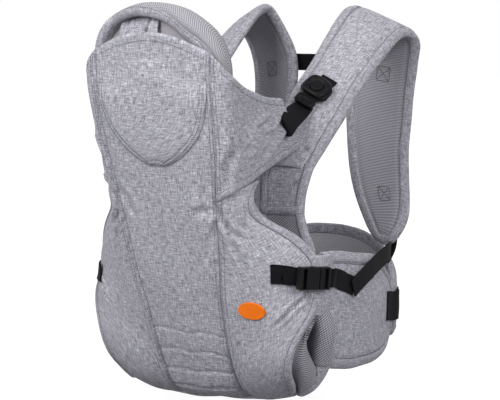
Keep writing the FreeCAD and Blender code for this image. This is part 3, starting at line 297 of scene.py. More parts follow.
# ---------------------------------------------------------------- curves and nets
def steps_of(points):
    """Distances between points that follow each other."""
    return np.linalg.norm(np.diff(points, axis=0), axis=1)


def run_of(points):
    """How far along a broken line each of its points is."""
    return np.concatenate([[0.0], np.cumsum(steps_of(points))])


def traced(values, run, places):
    """Values given at the stations of a run, read at other places along it."""
    return np.stack([np.interp(places, run, column) for column in values.T], axis=-1)


def unit(vector):
    return vector / max(np.linalg.norm(vector), TINY)


def spline(points, count):
    """Points shared out evenly along the natural cubic curve through the given points."""
    p = np.asarray(points, float)
    t = run_of(p)
    n = len(p)
    bend = np.zeros_like(p)
    if n > 2:
        step = np.diff(t)
        matrix = np.eye(n)
        right = np.zeros_like(p)
        for i in range(1, n - 1):
            matrix[i, i - 1:i + 2] = step[i - 1], 2 * (step[i - 1] + step[i]), step[i]
            right[i] = 6 * ((p[i + 1] - p[i]) / step[i] - (p[i] - p[i - 1]) / step[i - 1])
        bend = np.linalg.solve(matrix, right)
    s = np.linspace(0, t[-1], SPLINE_DENSITY * n)
    k = np.clip(np.searchsorted(t, s, side="right") - 1, 0, n - 2)
    h = (t[k + 1] - t[k])[:, None]
    a = (t[k + 1] - s)[:, None] / h
    b = 1 - a
    curve = a * p[k] + b * p[k + 1]
    curve += ((a ** 3 - a) * bend[k] + (b ** 3 - b) * bend[k + 1]) * h ** 2 / 6
    run = run_of(curve)
    return traced(curve, run, np.linspace(0, run[-1], count))


def net(rows, across, along):
    """A fine even net through rows of given points: along rows of across points."""
    smooth = np.stack([spline(row, across) for row in rows])
    return np.stack([spline(smooth[:, j], along) for j in range(across)], axis=1)


def settled(points):
    """The worn pouch hangs a little lower on its -X side, below the leg openings' tops."""
    lean = np.clip(-points[..., 0] / SAG_REACH, 0, 1)
    low = np.clip((SAG_TOP - points[..., 2]) / SAG_DEPTH, 0, 1)
    before = np.clip((SAG_BACK - points[..., 1]) / SAG_FADE, 0, 1)
    sag = SAG_DROP * lean * (2 - lean) * low * low * (3 - 2 * low) * before
    return points - np.array(SAG_PULL) * sag[..., None]


def both_sides(half_row):
    """A row that runs from the -X side over the centre line to the +X side."""
    return [(-x, y, z) for x, y, z in half_row[:0:-1]] + list(half_row)


def normals_of(points, outward):
    """Unit normals of a net, turned to the side that the outward direction points to."""
    normals = np.cross(np.gradient(points, axis=1), np.gradient(points, axis=0))
    normals /= np.maximum(np.linalg.norm(normals, axis=2, keepdims=True), 1e-12)
    middle = normals[len(points) // 2, points.shape[1] // 2]
    return normals if middle @ np.asarray(outward, float) > 0 else -normals


def measure(points):
    """Cloth coordinates of a net in metres: across from its middle, and along from its top."""
    u = np.zeros(points.shape[:2])
    v = np.zeros(points.shape[:2])
    u[:, 1:] = np.cumsum(np.linalg.norm(np.diff(points, axis=1), axis=2), axis=1)
    v[1:] = np.cumsum(np.linalg.norm(np.diff(points, axis=0), axis=2), axis=0)
    u -= u[:, -1:] / 2
    return u, v


def between(values, i, j):
    """A net's values at fractional row i and column j."""
    i = min(max(i, 0), values.shape[0] - 1.001)
    j = min(max(j, 0), values.shape[1] - 1.001)
    a, b = int(i), int(j)
    s, t = i - a, j - b
    return ((values[a, b] * (1 - t) + values[a, b + 1] * t) * (1 - s)
            + (values[a + 1, b] * (1 - t) + values[a + 1, b + 1] * t) * s)


def fall(distance, reach):
    """A smooth bump: 1 at no distance, 0 from reach on."""
    x = np.clip(1 - np.abs(distance) / reach, 0, 1)
    return x * x * (3 - 2 * x)


def line_distance(u, v, line):
    """Distance of every cloth point to a broken line, and how far along that line it is."""
    best = np.full(u.shape, 1e9)
    where = np.zeros(u.shape)
    line = np.asarray(line, float)
    total = max(steps_of(line).sum(), TINY)
    run = 0.0
    for a, b in zip(line[:-1], line[1:]):
        d = b - a
        length = max(np.linalg.norm(d), TINY)
        s = np.clip(((u - a[0]) * d[0] + (v - a[1]) * d[1]) / length ** 2, 0, 1)
        gap = np.hypot(u - a[0] - s * d[0], v - a[1] - s * d[1])
        near = gap < best
        best = np.where(near, gap, best)
        where = np.where(near, (run + s * length) / total, where)
        run += length
    return best, where


def cloth_noise(u, v, size, seed):
    """Smooth seeded waviness of about one, made of a few tilted waves."""
    rng = np.random.default_rng(seed)
    total = np.zeros(u.shape)
    for _ in range(9):
        angle = rng.uniform(0, 2 * math.pi)
        wave = 2 * math.pi / (size * rng.uniform(0.7, 1.8))
        phase = rng.uniform(0, 2 * math.pi)
        total += np.sin(wave * (u * math.cos(angle) + v * math.sin(angle)) + phase)
    return total / 3.0


# ---------------------------------------------------------------- meshes
def make_object(name, points, faces, uvs=None, smooth=True):
    mesh = bpy.data.meshes.new(name)
    mesh.from_pydata([tuple(p) for p in points], [], faces)
    if uvs is not None:
        layer = mesh.uv_layers.new(name="cloth")
        flat = np.asarray(uvs, np.float32)
        index = np.zeros(len(mesh.loops), np.int32)
        mesh.loops.foreach_get("vertex_index", index)
        layer.data.foreach_set("uv", flat[index].ravel())
    mesh.polygons.foreach_set("use_smooth", [smooth] * len(mesh.polygons))
    mesh.update()
    return linked(name, mesh)


def linked(name, data):
    """A new object of the scene that shows the data."""
    made = bpy.data.objects.new(name, data)
    bpy.context.scene.collection.objects.link(made)
    return made


def grid_faces(rows, columns, start=0, closed=False):
    faces = []
    for i in range(rows - 1):
        for j in range(columns if closed else columns - 1):
            k = (j + 1) % columns
            faces.append((start + i * columns + j, start + i * columns + k,
                          start + (i + 1) * columns + k, start + (i + 1) * columns + j))
    return faces


def finished(piece, material, body=ROOT, nodes=()):
    """Gives a piece its material, slot and body, and hides the CAD nodes it stands for."""
    piece.data.materials.append(material)
    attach(piece, body)
    if nodes:
        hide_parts(*nodes)
    return piece


def face_outward(piece):
    """Turns every face of a closed piece outward."""
    shell = bmesh.new()
    shell.from_mesh(piece.data)
    bmesh.ops.recalc_face_normals(shell, faces=shell.faces)
    shell.to_mesh(piece.data)
    shell.free()


def shell_from_net(name, cloth, top, bottom, rounding=None):
    """A closed cloth shell: top and bottom are heights off the net along its normals.

    Its borders are rounded: the ring between both faces stands out by rounding.
    """
    points = cloth.points
    rows, columns = points.shape[:2]
    upper = points + cloth.normals * top[..., None]
    lower = points + cloth.normals * bottom[..., None]
    u, v = cloth.weave
    flat_uv = np.stack([u, v], axis=2).reshape(-1, 2)
    border = [(0, j) for j in range(columns)] + [(i, columns - 1) for i in range(1, rows)]
    border += [(rows - 1, j) for j in range(columns - 2, -1, -1)]
    border += [(i, 0) for i in range(rows - 2, 0, -1)]
    rim, rim_uv = [], []
    for i, j in border:
        inner = points[min(max(i, 1), rows - 2), min(max(j, 1), columns - 2)]
        bulge = rounding if rounding is not None else abs(top[i, j] - bottom[i, j]) / 2
        rim.append((upper[i, j] + lower[i, j]) / 2 + unit(points[i, j] - inner) * bulge)
        rim_uv.append((u[i, j], v[i, j]))
    vertices = np.concatenate([upper.reshape(-1, 3), lower.reshape(-1, 3), np.array(rim)])
    uvs = np.concatenate([flat_uv, flat_uv, np.array(rim_uv)])
    count = rows * columns
    faces = grid_faces(rows, columns)
    faces += [f[::-1] for f in grid_faces(rows, columns, count)]
    ring = len(border)
    for k in range(ring):
        following = (k + 1) % ring
        a, b = (border[at][0] * columns + border[at][1] for at in (k, following))
        rim_a, rim_b = 2 * count + k, 2 * count + following
        faces.append((a, b, rim_b, rim_a))
        faces.append((rim_a, rim_b, count + b, count + a))
    piece = make_object(name, vertices, faces, uvs)
    face_outward(piece)
    return piece


class Cloth:
    """A net with its normals, cloth coordinates and relief: what a sewn panel is made from."""

    def __init__(self, rows, outward, pitch=0.0022):
        rows = [np.asarray(row, float) * MM for row in rows]
        middle = spline([row[0] for row in rows], 40)
        width = max(steps_of(spline(row, 30)).sum() for row in rows)
        across = int(max(8, width / pitch)) | 1
        along = int(max(8, steps_of(middle).sum() / pitch)) | 1
        self.points = settled(net(rows, across, along))
        self.normals = normals_of(self.points, outward)
        self.u, self.v = measure(self.points)
        self.weave = (self.u, self.v)
        self.relief = np.zeros(self.u.shape)

    def variant(self, points, normals, relief):
        """A net with the same cloth coordinates in another place."""
        twin = object.__new__(Cloth)
        twin.points, twin.normals, twin.relief = points, normals, relief
        twin.u, twin.v, twin.weave = self.u, self.v, self.weave
        return twin

    def on_side(self, sign):
        """The net itself for the +X side, or its mirror image for the -X side."""
        if sign > 0:
            return self
        flip = np.array([-1.0, 1.0, 1.0])
        return self.variant(settled(self.points * flip), self.normals * flip, self.relief)

    def turned_over(self, lower):
        """The underside of a padded band, whose relief was given off the outer side."""
        return self.variant(self.points, -self.normals, -lower)

    def hang_weave(self):
        """Cut the cloth with its threads level and upright, whatever its borders do."""
        self.weave = (self.u + self.points[:, :1, 0], self.v - self.points[:1, :, 2])

    def wave(self, height, size, seed):
        """Seeded waviness of the given height, in waves of about the given size."""
        self.relief += height * cloth_noise(self.u, self.v, size, seed)
        return self

    def edge_gap(self, edge):
        """Distance in metres from every point to one border of the net."""
        return {"left": self.u - self.u[:, :1], "right": self.u[:, -1:] - self.u,
                "top": self.v - self.v[:1], "bottom": self.v[-1:] - self.v}[edge]

    def inset(self, edges):
        """Distance in metres from every point to the nearest of some borders."""
        return np.minimum.reduce([self.edge_gap(edge) for edge in edges])

    def line_gap(self, line):
        """Distance to a line of (row share, column share) places, and how far along it."""
        return line_distance(self.u, self.v, [self.at(*place) for place in line])

    def level(self, height):
        """The same height off the net everywhere."""
        return np.full(self.u.shape, height)

    def at(self, row_share, column_share):
        """The cloth coordinates of a place given by shares along and across."""
        i, j = (int(round(min(max(share, 0.0), 1.0) * (size - 1)))
                for share, size in zip((row_share, column_share), self.u.shape))
        return float(self.u[i, j]), float(self.v[i, j])

    def surface(self, i, j, lift=0.0):
        """Point and normal on the relief at fractional row i and column j."""
        normal = between(self.normals, i, j)
        return between(self.points, i, j) + normal * (between(self.relief, i, j) + lift), normal

    def shell(self, name, thickness, rounding=None):
        return shell_from_net(name, self, self.relief, self.level(-thickness), rounding)

    def sewn(self, name, thickness, material, fill, nodes=(), rounding=None):
        """The finished padded piece of this cloth."""
        return finished(self.shell(name, thickness, rounding), material, nodes=nodes)

    def lanes(self, edge, insets, start=0.0, end=1.0):
        """The net's lines that end at a border, one after the other.

        Each gives its (row, column) places at the insets, the way off the border and its normal.
        """
        upright = edge in SIDE_EDGES
        gaps = self.edge_gap(edge) if upright else self.edge_gap(edge).T
        count, depth = gaps.shape
        last = [0, 1] if edge in ("left", "top") else [depth - 1, depth - 2]
        for k in range(int(start * (count - 1)), int(end * (count - 1)) + 1):
            order = np.argsort(gaps[k])
            places = [float(np.interp(inset, gaps[k][order], order)) for inset in insets]
            *places, border, inside = ((k, place) if upright else (place, k)
                                       for place in places + last)
            away = unit(self.points[border] - self.points[inside])
            yield places, away, self.normals[border]


# ---------------------------------------------------------------- materials
def new_material(name):
    material = bpy.data.materials.new(name)
    material.use_nodes = True
    nodes = material.node_tree.nodes
    nodes.clear()
    output = nodes.new("ShaderNodeOutputMaterial")
    shader = nodes.new("ShaderNodeBsdfPrincipled")
    material.node_tree.links.new(shader.outputs["BSDF"], output.inputs["Surface"])
    return material, shader


class Recipe:
    """A material in the making, with short words for its nodes."""

    def __init__(self, name):
        self.material, self.shader = new_material(name)
        self.tree = self.material.node_tree
        coordinates = self.tree.nodes.new("ShaderNodeTexCoord").outputs
        self.uv, self.object = coordinates["UV"], coordinates["Object"]

    def add(self, kind, source, socket="Vector", **values):
        """A node that is fed by one source, with constant values on its other sockets."""
        node = self.tree.nodes.new(kind)
        for name, value in values.items():
            node.inputs[name].default_value = value
        self.tree.links.new(source, node.inputs[socket])
        return node

    def stretched(self, scale, turn=0.0):
        """Cloth coordinates scaled and turned."""
        return self.add("ShaderNodeMapping", self.uv, Scale=scale,
                        Rotation=(0, 0, turn)).outputs["Vector"]

    def noise(self, vector, scale, detail=2.0, roughness=0.5):
        return self.add("ShaderNodeTexNoise", vector, Scale=scale, Detail=detail,
                        Roughness=roughness).outputs["Fac"]

    def cloth_noise(self, across, along, detail=2.0, roughness=0.5):
        """Noise in cloth coordinates, with so many waves to the metre across and along."""
        return self.noise(self.stretched((across, along, 1.0)), 1.0, detail, roughness)

    def parts(self, vector):
        return self.add("ShaderNodeSeparateXYZ", vector).outputs

    def math(self, operation, a, b=0.0):
        node = self.tree.nodes.new("ShaderNodeMath")
        node.operation = operation
        for index, value in enumerate((a, b)):
            if isinstance(value, (int, float)):
                node.inputs[index].default_value = value
            else:
                self.tree.links.new(value, node.inputs[index])
        return node.outputs[0]

    def weighted(self, *terms):
        """Sum of (value, weight) terms."""
        total = None
        for value, weight in terms:
            term = self.math("MULTIPLY", value, weight)
            total = term if total is None else self.math("ADD", total, term)
        return total

    def tone(self, factor, colour, *stops):
        """Base colour along a ramp, whose stops are (place, how much lighter than colour)."""
        node = self.tree.nodes.new("ShaderNodeValToRGB")
        self.tree.links.new(factor, node.inputs["Fac"])
        while len(node.color_ramp.elements) < len(stops):
            node.color_ramp.elements.new(0.5)
        for element, (place, amount) in zip(node.color_ramp.elements, stops):
            element.position = place
            element.color = (*tinted(colour, amount), 1.0)
        self.tree.links.new(node.outputs["Color"], self.shader.inputs["Base Color"])

    def bumped(self, height, distance, strength, **sockets):
        """Bump and the shader's constant values: what ends a recipe."""
        node = self.add("ShaderNodeBump", height, "Height", Distance=distance, Strength=strength)
        self.tree.links.new(node.outputs["Normal"], self.shader.inputs["Normal"])
        return self.set(**sockets)

    def set(self, **sockets):
        for word, value in sockets.items():
            self.shader.inputs[SOCKETS[word]].default_value = value
        return self.material


SOCKETS = {"rough": "Roughness", "sheen": "Sheen Weight", "sheen_rough": "Sheen Roughness",
           "specular": "Specular IOR Level"}


def tinted(colour, amount):
    return tuple(min(1.0, c * amount) for c in colour)


def threads(n, pitch):
    """Height of a plain weave in cloth coordinates: threads over and under each other."""
    parts = n.parts(n.stretched((math.pi / pitch, math.pi / pitch, 1.0)))
    warp, weft = (n.math("ABSOLUTE", n.math("SINE", parts[axis])) for axis in "XY")
    return n.math("MULTIPLY", n.math("ADD", warp, weft), 0.5)


def melange(name, colour, contrast=1.0, pitch=0.0011):
    """Heathered plain weave: light and dark yarn flecks that run along both threads."""
    n = Recipe(name)
    warp = n.cloth_noise(600.0, 95.0, 3.0, 0.7)
    weft = n.cloth_noise(95.0, 600.0, 3.0, 0.7)
    fine = n.cloth_noise(900.0, 900.0, 1.0)
    broad = n.cloth_noise(22.0, 22.0)
    mixed = n.weighted((warp, 0.46), (weft, 0.46), (fine, 0.08),
                       (n.math("SUBTRACT", broad, 0.5), 0.04))
    n.tone(mixed, colour, (0.37, 1.0 - 0.66 * contrast), (0.46, 0.8), (0.53, 1.12),
           (0.62, 1.0 + 0.8 * contrast))
    height = n.math("ADD", threads(n, pitch), n.math("MULTIPLY", mixed, 1.2))
    return n.bumped(height, 0.0004, 0.9, rough=0.92, sheen=0.18, sheen_rough=0.45, specular=0.12)


def spacer_mesh(name, colour, pitch, slant, contrast):
    """Knitted spacer mesh: slanting ridges, each broken into a row of small open cells."""
    n = Recipe(name)
    waves = 2 * math.pi / pitch
    lanes = n.parts(n.stretched((waves,) * 3, math.radians(slant)))
    ridge = n.math("SINE", lanes["Y"])
    cell = n.math("SINE", n.math("ADD", lanes["X"], n.math("MULTIPLY", lanes["Y"], 0.5)))
    height = n.weighted((ridge, 0.36), (cell, 0.14))
    fuzz = n.cloth_noise(700.0, 700.0, 2.0, 0.6)
    mixed = n.math("ADD", n.math("ADD", height, 0.3), n.math("MULTIPLY", fuzz, 0.4))
    n.tone(mixed, colour, (0.2, 1.0 - 0.5 * contrast), (0.5, 1.0), (0.85, 1.0 + 0.6 * contrast))
    return n.bumped(height, 0.0007, 0.5 + 0.4 * contrast, rough=0.85, sheen=0.15, specular=0.2)


def plain_weave(name, colour):
    """Smooth lining cloth with a fine even weave."""
    n = Recipe(name)
    n.tone(n.cloth_noise(600.0, 600.0), colour, (0.3, 0.9), (0.7, 1.1))
    return n.bumped(threads(n, 0.0008), 0.00015, 0.6, rough=0.8, sheen=0.15)


def ribbed_webbing(name, colour):
    """Polyester webbing: fine slanting ribs and a dull sheen."""
    n = Recipe(name)
    parts = n.parts(n.object)
    slanted = n.math("ADD", parts["Z"], n.math("MULTIPLY", n.math(
        "ADD", parts["X"], parts["Y"]), 0.8))
    rib = n.math("ABSOLUTE", n.math("SINE", n.math("MULTIPLY", slanted, math.pi / 0.0016)))
    fuzz = n.noise(n.object, 900.0, 2.0, 0.6)
    n.tone(n.weighted((rib, 0.5), (fuzz, 0.5)), colour, (0.2, 0.5), (0.8, 1.9))
    return n.bumped(rib, 0.00035, 0.9, rough=0.75, specular=0.06)


def moulded_plastic(name, colour, roughness):
    """Moulded acetal with a fine eroded grain and slightly polished wear."""
    n = Recipe(name)
    grain = n.noise(n.object, 1800.0, 2.0, 0.6)
    patches = n.noise(n.object, 60.0)
    n.tone(patches, colour, (0.3, 0.85), (0.7, 1.2))
    worn = n.math("ADD", n.math("MULTIPLY", patches, 0.12), roughness - 0.06)
    n.tree.links.new(worn, n.shader.inputs["Roughness"])
    return n.bumped(grain, 0.00008, 0.5, specular=0.1)


def soft_rubber(name, colour):
    """Matt soft rubber with faint moulding marks."""
    n = Recipe(name)
    n.tone(n.noise(n.object, 160.0, 3.0, 0.6), colour, (0.3, 0.94), (0.7, 1.05))
    return n.bumped(n.noise(n.object, 2500.0, 1.0), 0.00005, 0.5, rough=0.6, specular=0.1)


def sewing_thread(name, colour):
    """Twisted polyester thread."""
    n = Recipe(name)
    n.tone(n.noise(n.object, 1500.0, 1.0), colour, (0.3, 0.8), (0.7, 1.2))
    return n.set(rough=0.6)


HEATHER = (0.43, 0.425, 0.475)
CLOTH = melange("melange_cloth", HEATHER)
TAPE = melange("melange_tape", tinted(HEATHER, 0.95), 0.9, 0.0009)
MESH = spacer_mesh("spacer_mesh", (0.33, 0.325, 0.36), 0.0031, 38, 0.4)
RIDGED_MESH = spacer_mesh("ridged_mesh", (0.3, 0.295, 0.325), 0.0024, 35, 1.3)
# Near-black copy of the spacer mesh for the sheet inside each leg opening: painted shade.
PAINTED_SHADE_MESH = spacer_mesh("painted_shade_mesh", (0.03, 0.03, 0.034), 0.0033, 40, 1.0)
PALE_MESH = spacer_mesh("pale_mesh", (0.36, 0.355, 0.385), 0.0027, 35, 0.8)
# Lighter copy of the spacer mesh for the lumbar pad's lining, which falls in shade: painted light.
LUMBAR_MESH_PAINTED_LIGHT = spacer_mesh("lumbar_mesh_painted_light", (0.55, 0.54, 0.58), 0.0027, 35, 0.6)
PLAIN = plain_weave("plain_lining", (0.4, 0.38, 0.415))
# Lighter copy of the plain lining for the hood band's underside: painted light where the band
# shades it.
PLAIN_PAINTED_LIGHT = plain_weave("lining_painted_light", (0.62, 0.6, 0.635))
BLACK_WEBBING = ribbed_webbing("black_webbing", (0.0065, 0.0065, 0.0075))
BLACK_PLASTIC = moulded_plastic("black_plastic", (0.0055, 0.0055, 0.0065), 0.36)
ORANGE = soft_rubber("orange_rubber", (0.9, 0.19, 0.012))
THREAD = sewing_thread("grey_thread", (0.1, 0.1, 0.115))
PALE_THREAD = sewing_thread("pale_thread", (0.6, 0.6, 0.62))


# ---------------------------------------------------------------- sewing details
def stitches(name, runs, material=THREAD, length=0.0026, pause=0.0009, thick=0.00042):
    """Rows of separate thread stitches along runs of (points, normals) that lie on the cloth."""
    vertices, faces = [], []
    for points, normals in runs:
        run = run_of(points)
        for start in np.arange(pause, run[-1] - length, length + pause):
            ends = [traced(points, run, s) for s in (start, start + length / 2, start + length)]
            normal = traced(normals, run, start)
            side = np.cross(normal, unit(ends[2] - ends[0]))
            first = len(vertices)
            for place, swell, rise in zip(ends, (0.35, 1.0, 0.35), (-0.5, 0.55, -0.5)):
                for turn in range(6):
                    angle = turn * math.pi / 3
                    vertices.append(place + normal * thick * (rise + math.sin(angle) * swell)
                                    + side * thick * math.cos(angle) * swell)
            faces += grid_faces(3, 6, first, closed=True)
            faces.append(tuple(range(first + 5, first - 1, -1)))
            faces.append(tuple(range(first + 12, first + 18)))
    return finished(make_object(name, vertices, faces), material)


def lifted(cloth, places, lift):
    """Points and normals just off a cloth at (row, column) places."""
    return [np.array(part) for part in zip(*(cloth.surface(i, j, lift) for i, j in places))]


def seam_run(cloth, line, lift=0.0002):
    """Points and normals on a cloth along a line of (row share, column share) points."""
    rows, columns = cloth.u.shape
    path = spline([(r * (rows - 1), c * (columns - 1)) for r, c in line], 60)
    points, normals = lifted(cloth, path, lift)
    count = max(int(steps_of(points).sum() / SEAM_STEP), 4)
    index, even = np.arange(len(path)), np.linspace(0, len(path) - 1, count)
    return traced(points, index, even), traced(normals, index, even)


def border_run(cloth, edge, inset, lift=0.0002, start=0.0, end=1.0):
    """A stitching run that follows one border of a cloth at a fixed inset."""
    lanes = cloth.lanes(edge, [inset], start, end)
    return lifted(cloth, [place for (place,), _, _ in lanes], lift)


def border_runs(cloth, edges, insets, lift=0.0002):
    """Stitching runs along several borders, one after the other for every inset."""
    return [border_run(cloth, edge, inset, lift) for inset in insets for edge in edges]


def uv_grid(across, along):
    return np.stack(np.meshgrid(across, along), axis=2).reshape(-1, 2)


def tube_grid(name, rings, uv=None):
    """A closed skin over rings of points: every ring has the same number of points."""
    rings = np.asarray(rings)
    count, around = rings.shape[:2]
    if uv is None:
        uv = uv_grid(run_of(rings[count // 2]), run_of(rings.mean(axis=1)))
    faces = grid_faces(count, around, closed=True)
    faces.append(tuple(range(around - 1, -1, -1)))
    faces.append(tuple((count - 1) * around + k for k in range(around)))
    piece = make_object(name, rings.reshape(-1, 3), faces, uv)
    face_outward(piece)
    return piece


def binding(name, cloth, edge, width, underside, thick=0.0016, nodes=(), start=0.0, end=1.0):
    """Folded tape round a border: outer flap, rolled edge and inner flap, as one closed skin."""
    def below(place, drop):
        return cloth.surface(*place, -nearest(cloth.relief, *place) - underside - drop)[0]
    rises = (0.15, 0.95, 1.15, 1.05, 0.8)
    insets = [width * share for share in (1.0, 0.8, 0.5, 0.2, 0.0)]
    rings = []
    for places, away, normal in cloth.lanes(edge, insets, start, end):
        outer = [cloth.surface(*place, thick * rise)[0] for place, rise in zip(places, rises)]
        flaps = [below(place, thick * rise) for place, rise in zip(places[::-1], rises[::-1])]
        middle = (outer[-1] + flaps[0]) / 2
        half = np.linalg.norm(outer[-1] - flaps[0]) / 2
        turn = [middle + normal * half * 0.72 + away * TAPE_REACH * 0.8,
                middle + away * (TAPE_REACH + thick),
                middle - normal * half * 0.72 + away * TAPE_REACH * 0.8]
        inside = [below(places[k], -thick * 0.3) for k in (0, 2, 4)]
        inside += [cloth.surface(*places[k], -thick * 0.3)[0] for k in (4, 2, 0)]
        rings.append(outer + turn + flaps + inside)
    return finished(tube_grid(name, rings), TAPE, nodes=nodes)


def nearest(values, i, j):
    """A net's value at the grid point nearest to row i and column j."""
    rows, columns = values.shape
    return float(values[int(round(min(max(i, 0), rows - 1))),
                        int(round(min(max(j, 0), columns - 1)))])


def hugging(piece):
    """A search tree of a finished piece's surface, for what lies on it."""
    mesh = piece.data
    return BVHTree.FromPolygons([v.co for v in mesh.vertices],
                                [tuple(p.vertices) for p in mesh.polygons])


def on_surface(tree, point, outward, lift):
    """Nearest point of a surface to a guide point, lifted off it, and the normal there."""
    place, normal, _, _ = tree.find_nearest(Vector(point))
    if normal.dot(Vector(outward)) < 0:
        normal = -normal
    return np.array(place + normal * lift), np.array(normal)


def flat_strip(name, stations, width, thick, tree, lift):
    """Webbing over a surface through stations of (point, normal): a band with rounded edges."""
    guide = np.array([np.concatenate(station) for station in stations])
    count = max(int(steps_of(guide[:, :3]).sum() / STRIP_STEP), 6)
    dense = spline(guide, count)
    points, normals = dense[:, :3], dense[:, 3:]
    normals /= np.linalg.norm(normals, axis=1, keepdims=True)
    ahead = np.gradient(points, axis=0)
    ahead /= np.linalg.norm(ahead, axis=1, keepdims=True)
    across = np.linspace(-1, 1, 9)
    crown = 1 - np.abs(across) ** 8 * 0.55
    rings = []
    for point, normal, forward in zip(points, normals, ahead):
        side = unit(np.cross(forward, normal))
        normal = np.cross(side, forward)
        row = np.array([pressed(point + side * place * width / 2, normal, tree, lift)
                        for place in across])
        top = row + normal * (thick * crown)[:, None]
        bottom = row[::-1] + normal * (thick * (1 - crown[::-1]))[:, None]
        rings.append(np.concatenate([top, bottom]))
    places = np.concatenate([across, across[::-1]]) * width / 2
    return tube_grid(name, rings, uv_grid(places, run_of(points)))


def pressed(spot, normal, tree, lift):
    """A webbing point kept at least lift above the surface under it."""
    hit, _, _, _ = tree.ray_cast(Vector(spot + normal * 0.02), Vector(-normal), 0.026)
    if hit is None:
        return spot
    raised = np.array(hit) + normal * lift
    return raised if (raised - spot) @ normal > 0 else spot


# ---------------------------------------------------------------- front panels
def seam_roll(cloth, edge):
    """The border sinks into its seam, and the top stitches beside it pull the cloth down."""
    gap = cloth.edge_gap(edge)
    cloth.relief -= 0.0042 * fall(gap, 0.0030)
    for place in TOP_STITCHES:
        cloth.relief -= 0.0007 * fall(gap - place, 0.0016)


def crease(cloth, line, depth, reach, lip=0.8):
    """A soft fold: a groove along the line with raised lips beside it; it fades at its ends."""
    gap, where = cloth.line_gap(line)
    fade = np.clip(np.minimum(where, 1 - where) * 6, 0.0, 1.0)
    cloth.relief += fade * (lip * depth * fall(gap - reach, reach) - depth * fall(gap, reach))


def build_middle():
    cloth = Cloth([both_sides(half + [end]) for half, end in zip(MIDDLE_ROWS, SEAM)], FRONT)
    cloth.hang_weave()
    cloth.wave(0.0006, 0.075, 3)
    for edge in SIDE_EDGES:
        seam_roll(cloth, edge)
    for line in MIDDLE_FOLDS:
        crease(cloth, line, 0.0019, 0.009)
    lines = [[(share, 0.03), (share + 0.004, 0.5), (share, 0.97)] for share in QUILT_LINES]
    for line in lines:
        cloth.relief -= 0.0016 * fall(cloth.line_gap(line)[0], 0.0035)
    piece = cloth.sewn("centre_panel_cloth", PANEL, CLOTH, 0.25, ("centre_panel",))
    stitches("quilting", [seam_run(cloth, line) for line in lines], PALE_THREAD, thick=0.0003)
    stitches("centre_panel_stitching", border_runs(cloth, SIDE_EDGES, TOP_STITCHES[:1])
             + [border_run(cloth, "top", 0.008)])
    return piece


def build_sides():
    """Side wings and hip panels with their bound edges. Gives the +X hip panel and its piece."""
    made = {}
    for side, sign in SIDES:
        panels = []
        for rows, outward, size, seed, folds, depth in (
                (WING_ROWS, (1, 0, 0), 0.06, 11, WING_FOLDS, 0.0036),
                (HIP_ROWS, FRONT, 0.07, 17, HIP_FOLDS, 0.0030)):
            cloth = Cloth(rows, outward)
            cloth.hang_weave()
            cloth.wave(0.0008, size, seed)
            seam_roll(cloth, "left")
            for line in folds:
                crease(cloth, line, depth, 0.007)
            panels.append(cloth.on_side(sign))
        wing, hip = panels
        wing.sewn("side_wing_cloth_" + side, PANEL, CLOTH, 0.25, ("side_wing_" + side,))
        piece = hip.sewn("hip_panel_cloth_" + side, PANEL, CLOTH, 0.25, ("hip_panel_" + side,))
        for name, cloth, edge, node, start, end in (
                ("wing_hem_tape_", wing, "bottom", "wing_hem", 0.0, 1.0),
                ("armhole_tape_", hip, "right", "armhole_binding", 0.0, ARMHOLE_SHARE),
                ("leg_tape_", hip, "right", "leg_binding", ARMHOLE_SHARE, 1.0)):
            binding(name + side, cloth, edge, EDGE_TAPE, PANEL, nodes=(node,), start=start, end=end)
        runs = [border_run(cloth, "left", inset) for cloth in (hip, wing) for inset in TOP_STITCHES]
        runs += [border_run(cloth, edge, TOP_STITCHES[1], 0.0016)
                 for cloth, edge in ((hip, "right"), (wing, "bottom"))]
        runs.append(border_run(wing, "top", 0.007))
        stitches("side_panel_stitching_" + side, runs)
        made[side] = hip, piece
    return made["right"]


def build_head_patch(tree):
    rows = []
    for height, half_width in PATCH_ROWS:
        guides = [np.array([share * half_width, -290, height]) * MM
                  for share in (-1.0, -0.5, 0.0, 0.5, 1.0)]
        rows.append([on_surface(tree, guide, FRONT, 0.0002)[0] / MM for guide in guides])
    cloth = Cloth(rows, FRONT)
    cloth.hang_weave()
    inset = cloth.inset(SIDE_EDGES + ("top", "bottom"))
    cloth.relief = 0.0015 + 0.0034 * np.clip(inset / 0.012, 0, 1) ** 0.6
    cloth.relief -= 0.0010 * fall(inset - PATCH_SEAMS[1], 0.002)
    cloth.wave(0.0003, 0.05, 5)
    cloth.sewn("head_patch_cloth", 0.0, CLOTH, 0.5, ("head_patch",), rounding=0.0008)
    stitches("head_patch_stitching", border_runs(cloth, SIDE_EDGES + ("bottom",), PATCH_SEAMS))


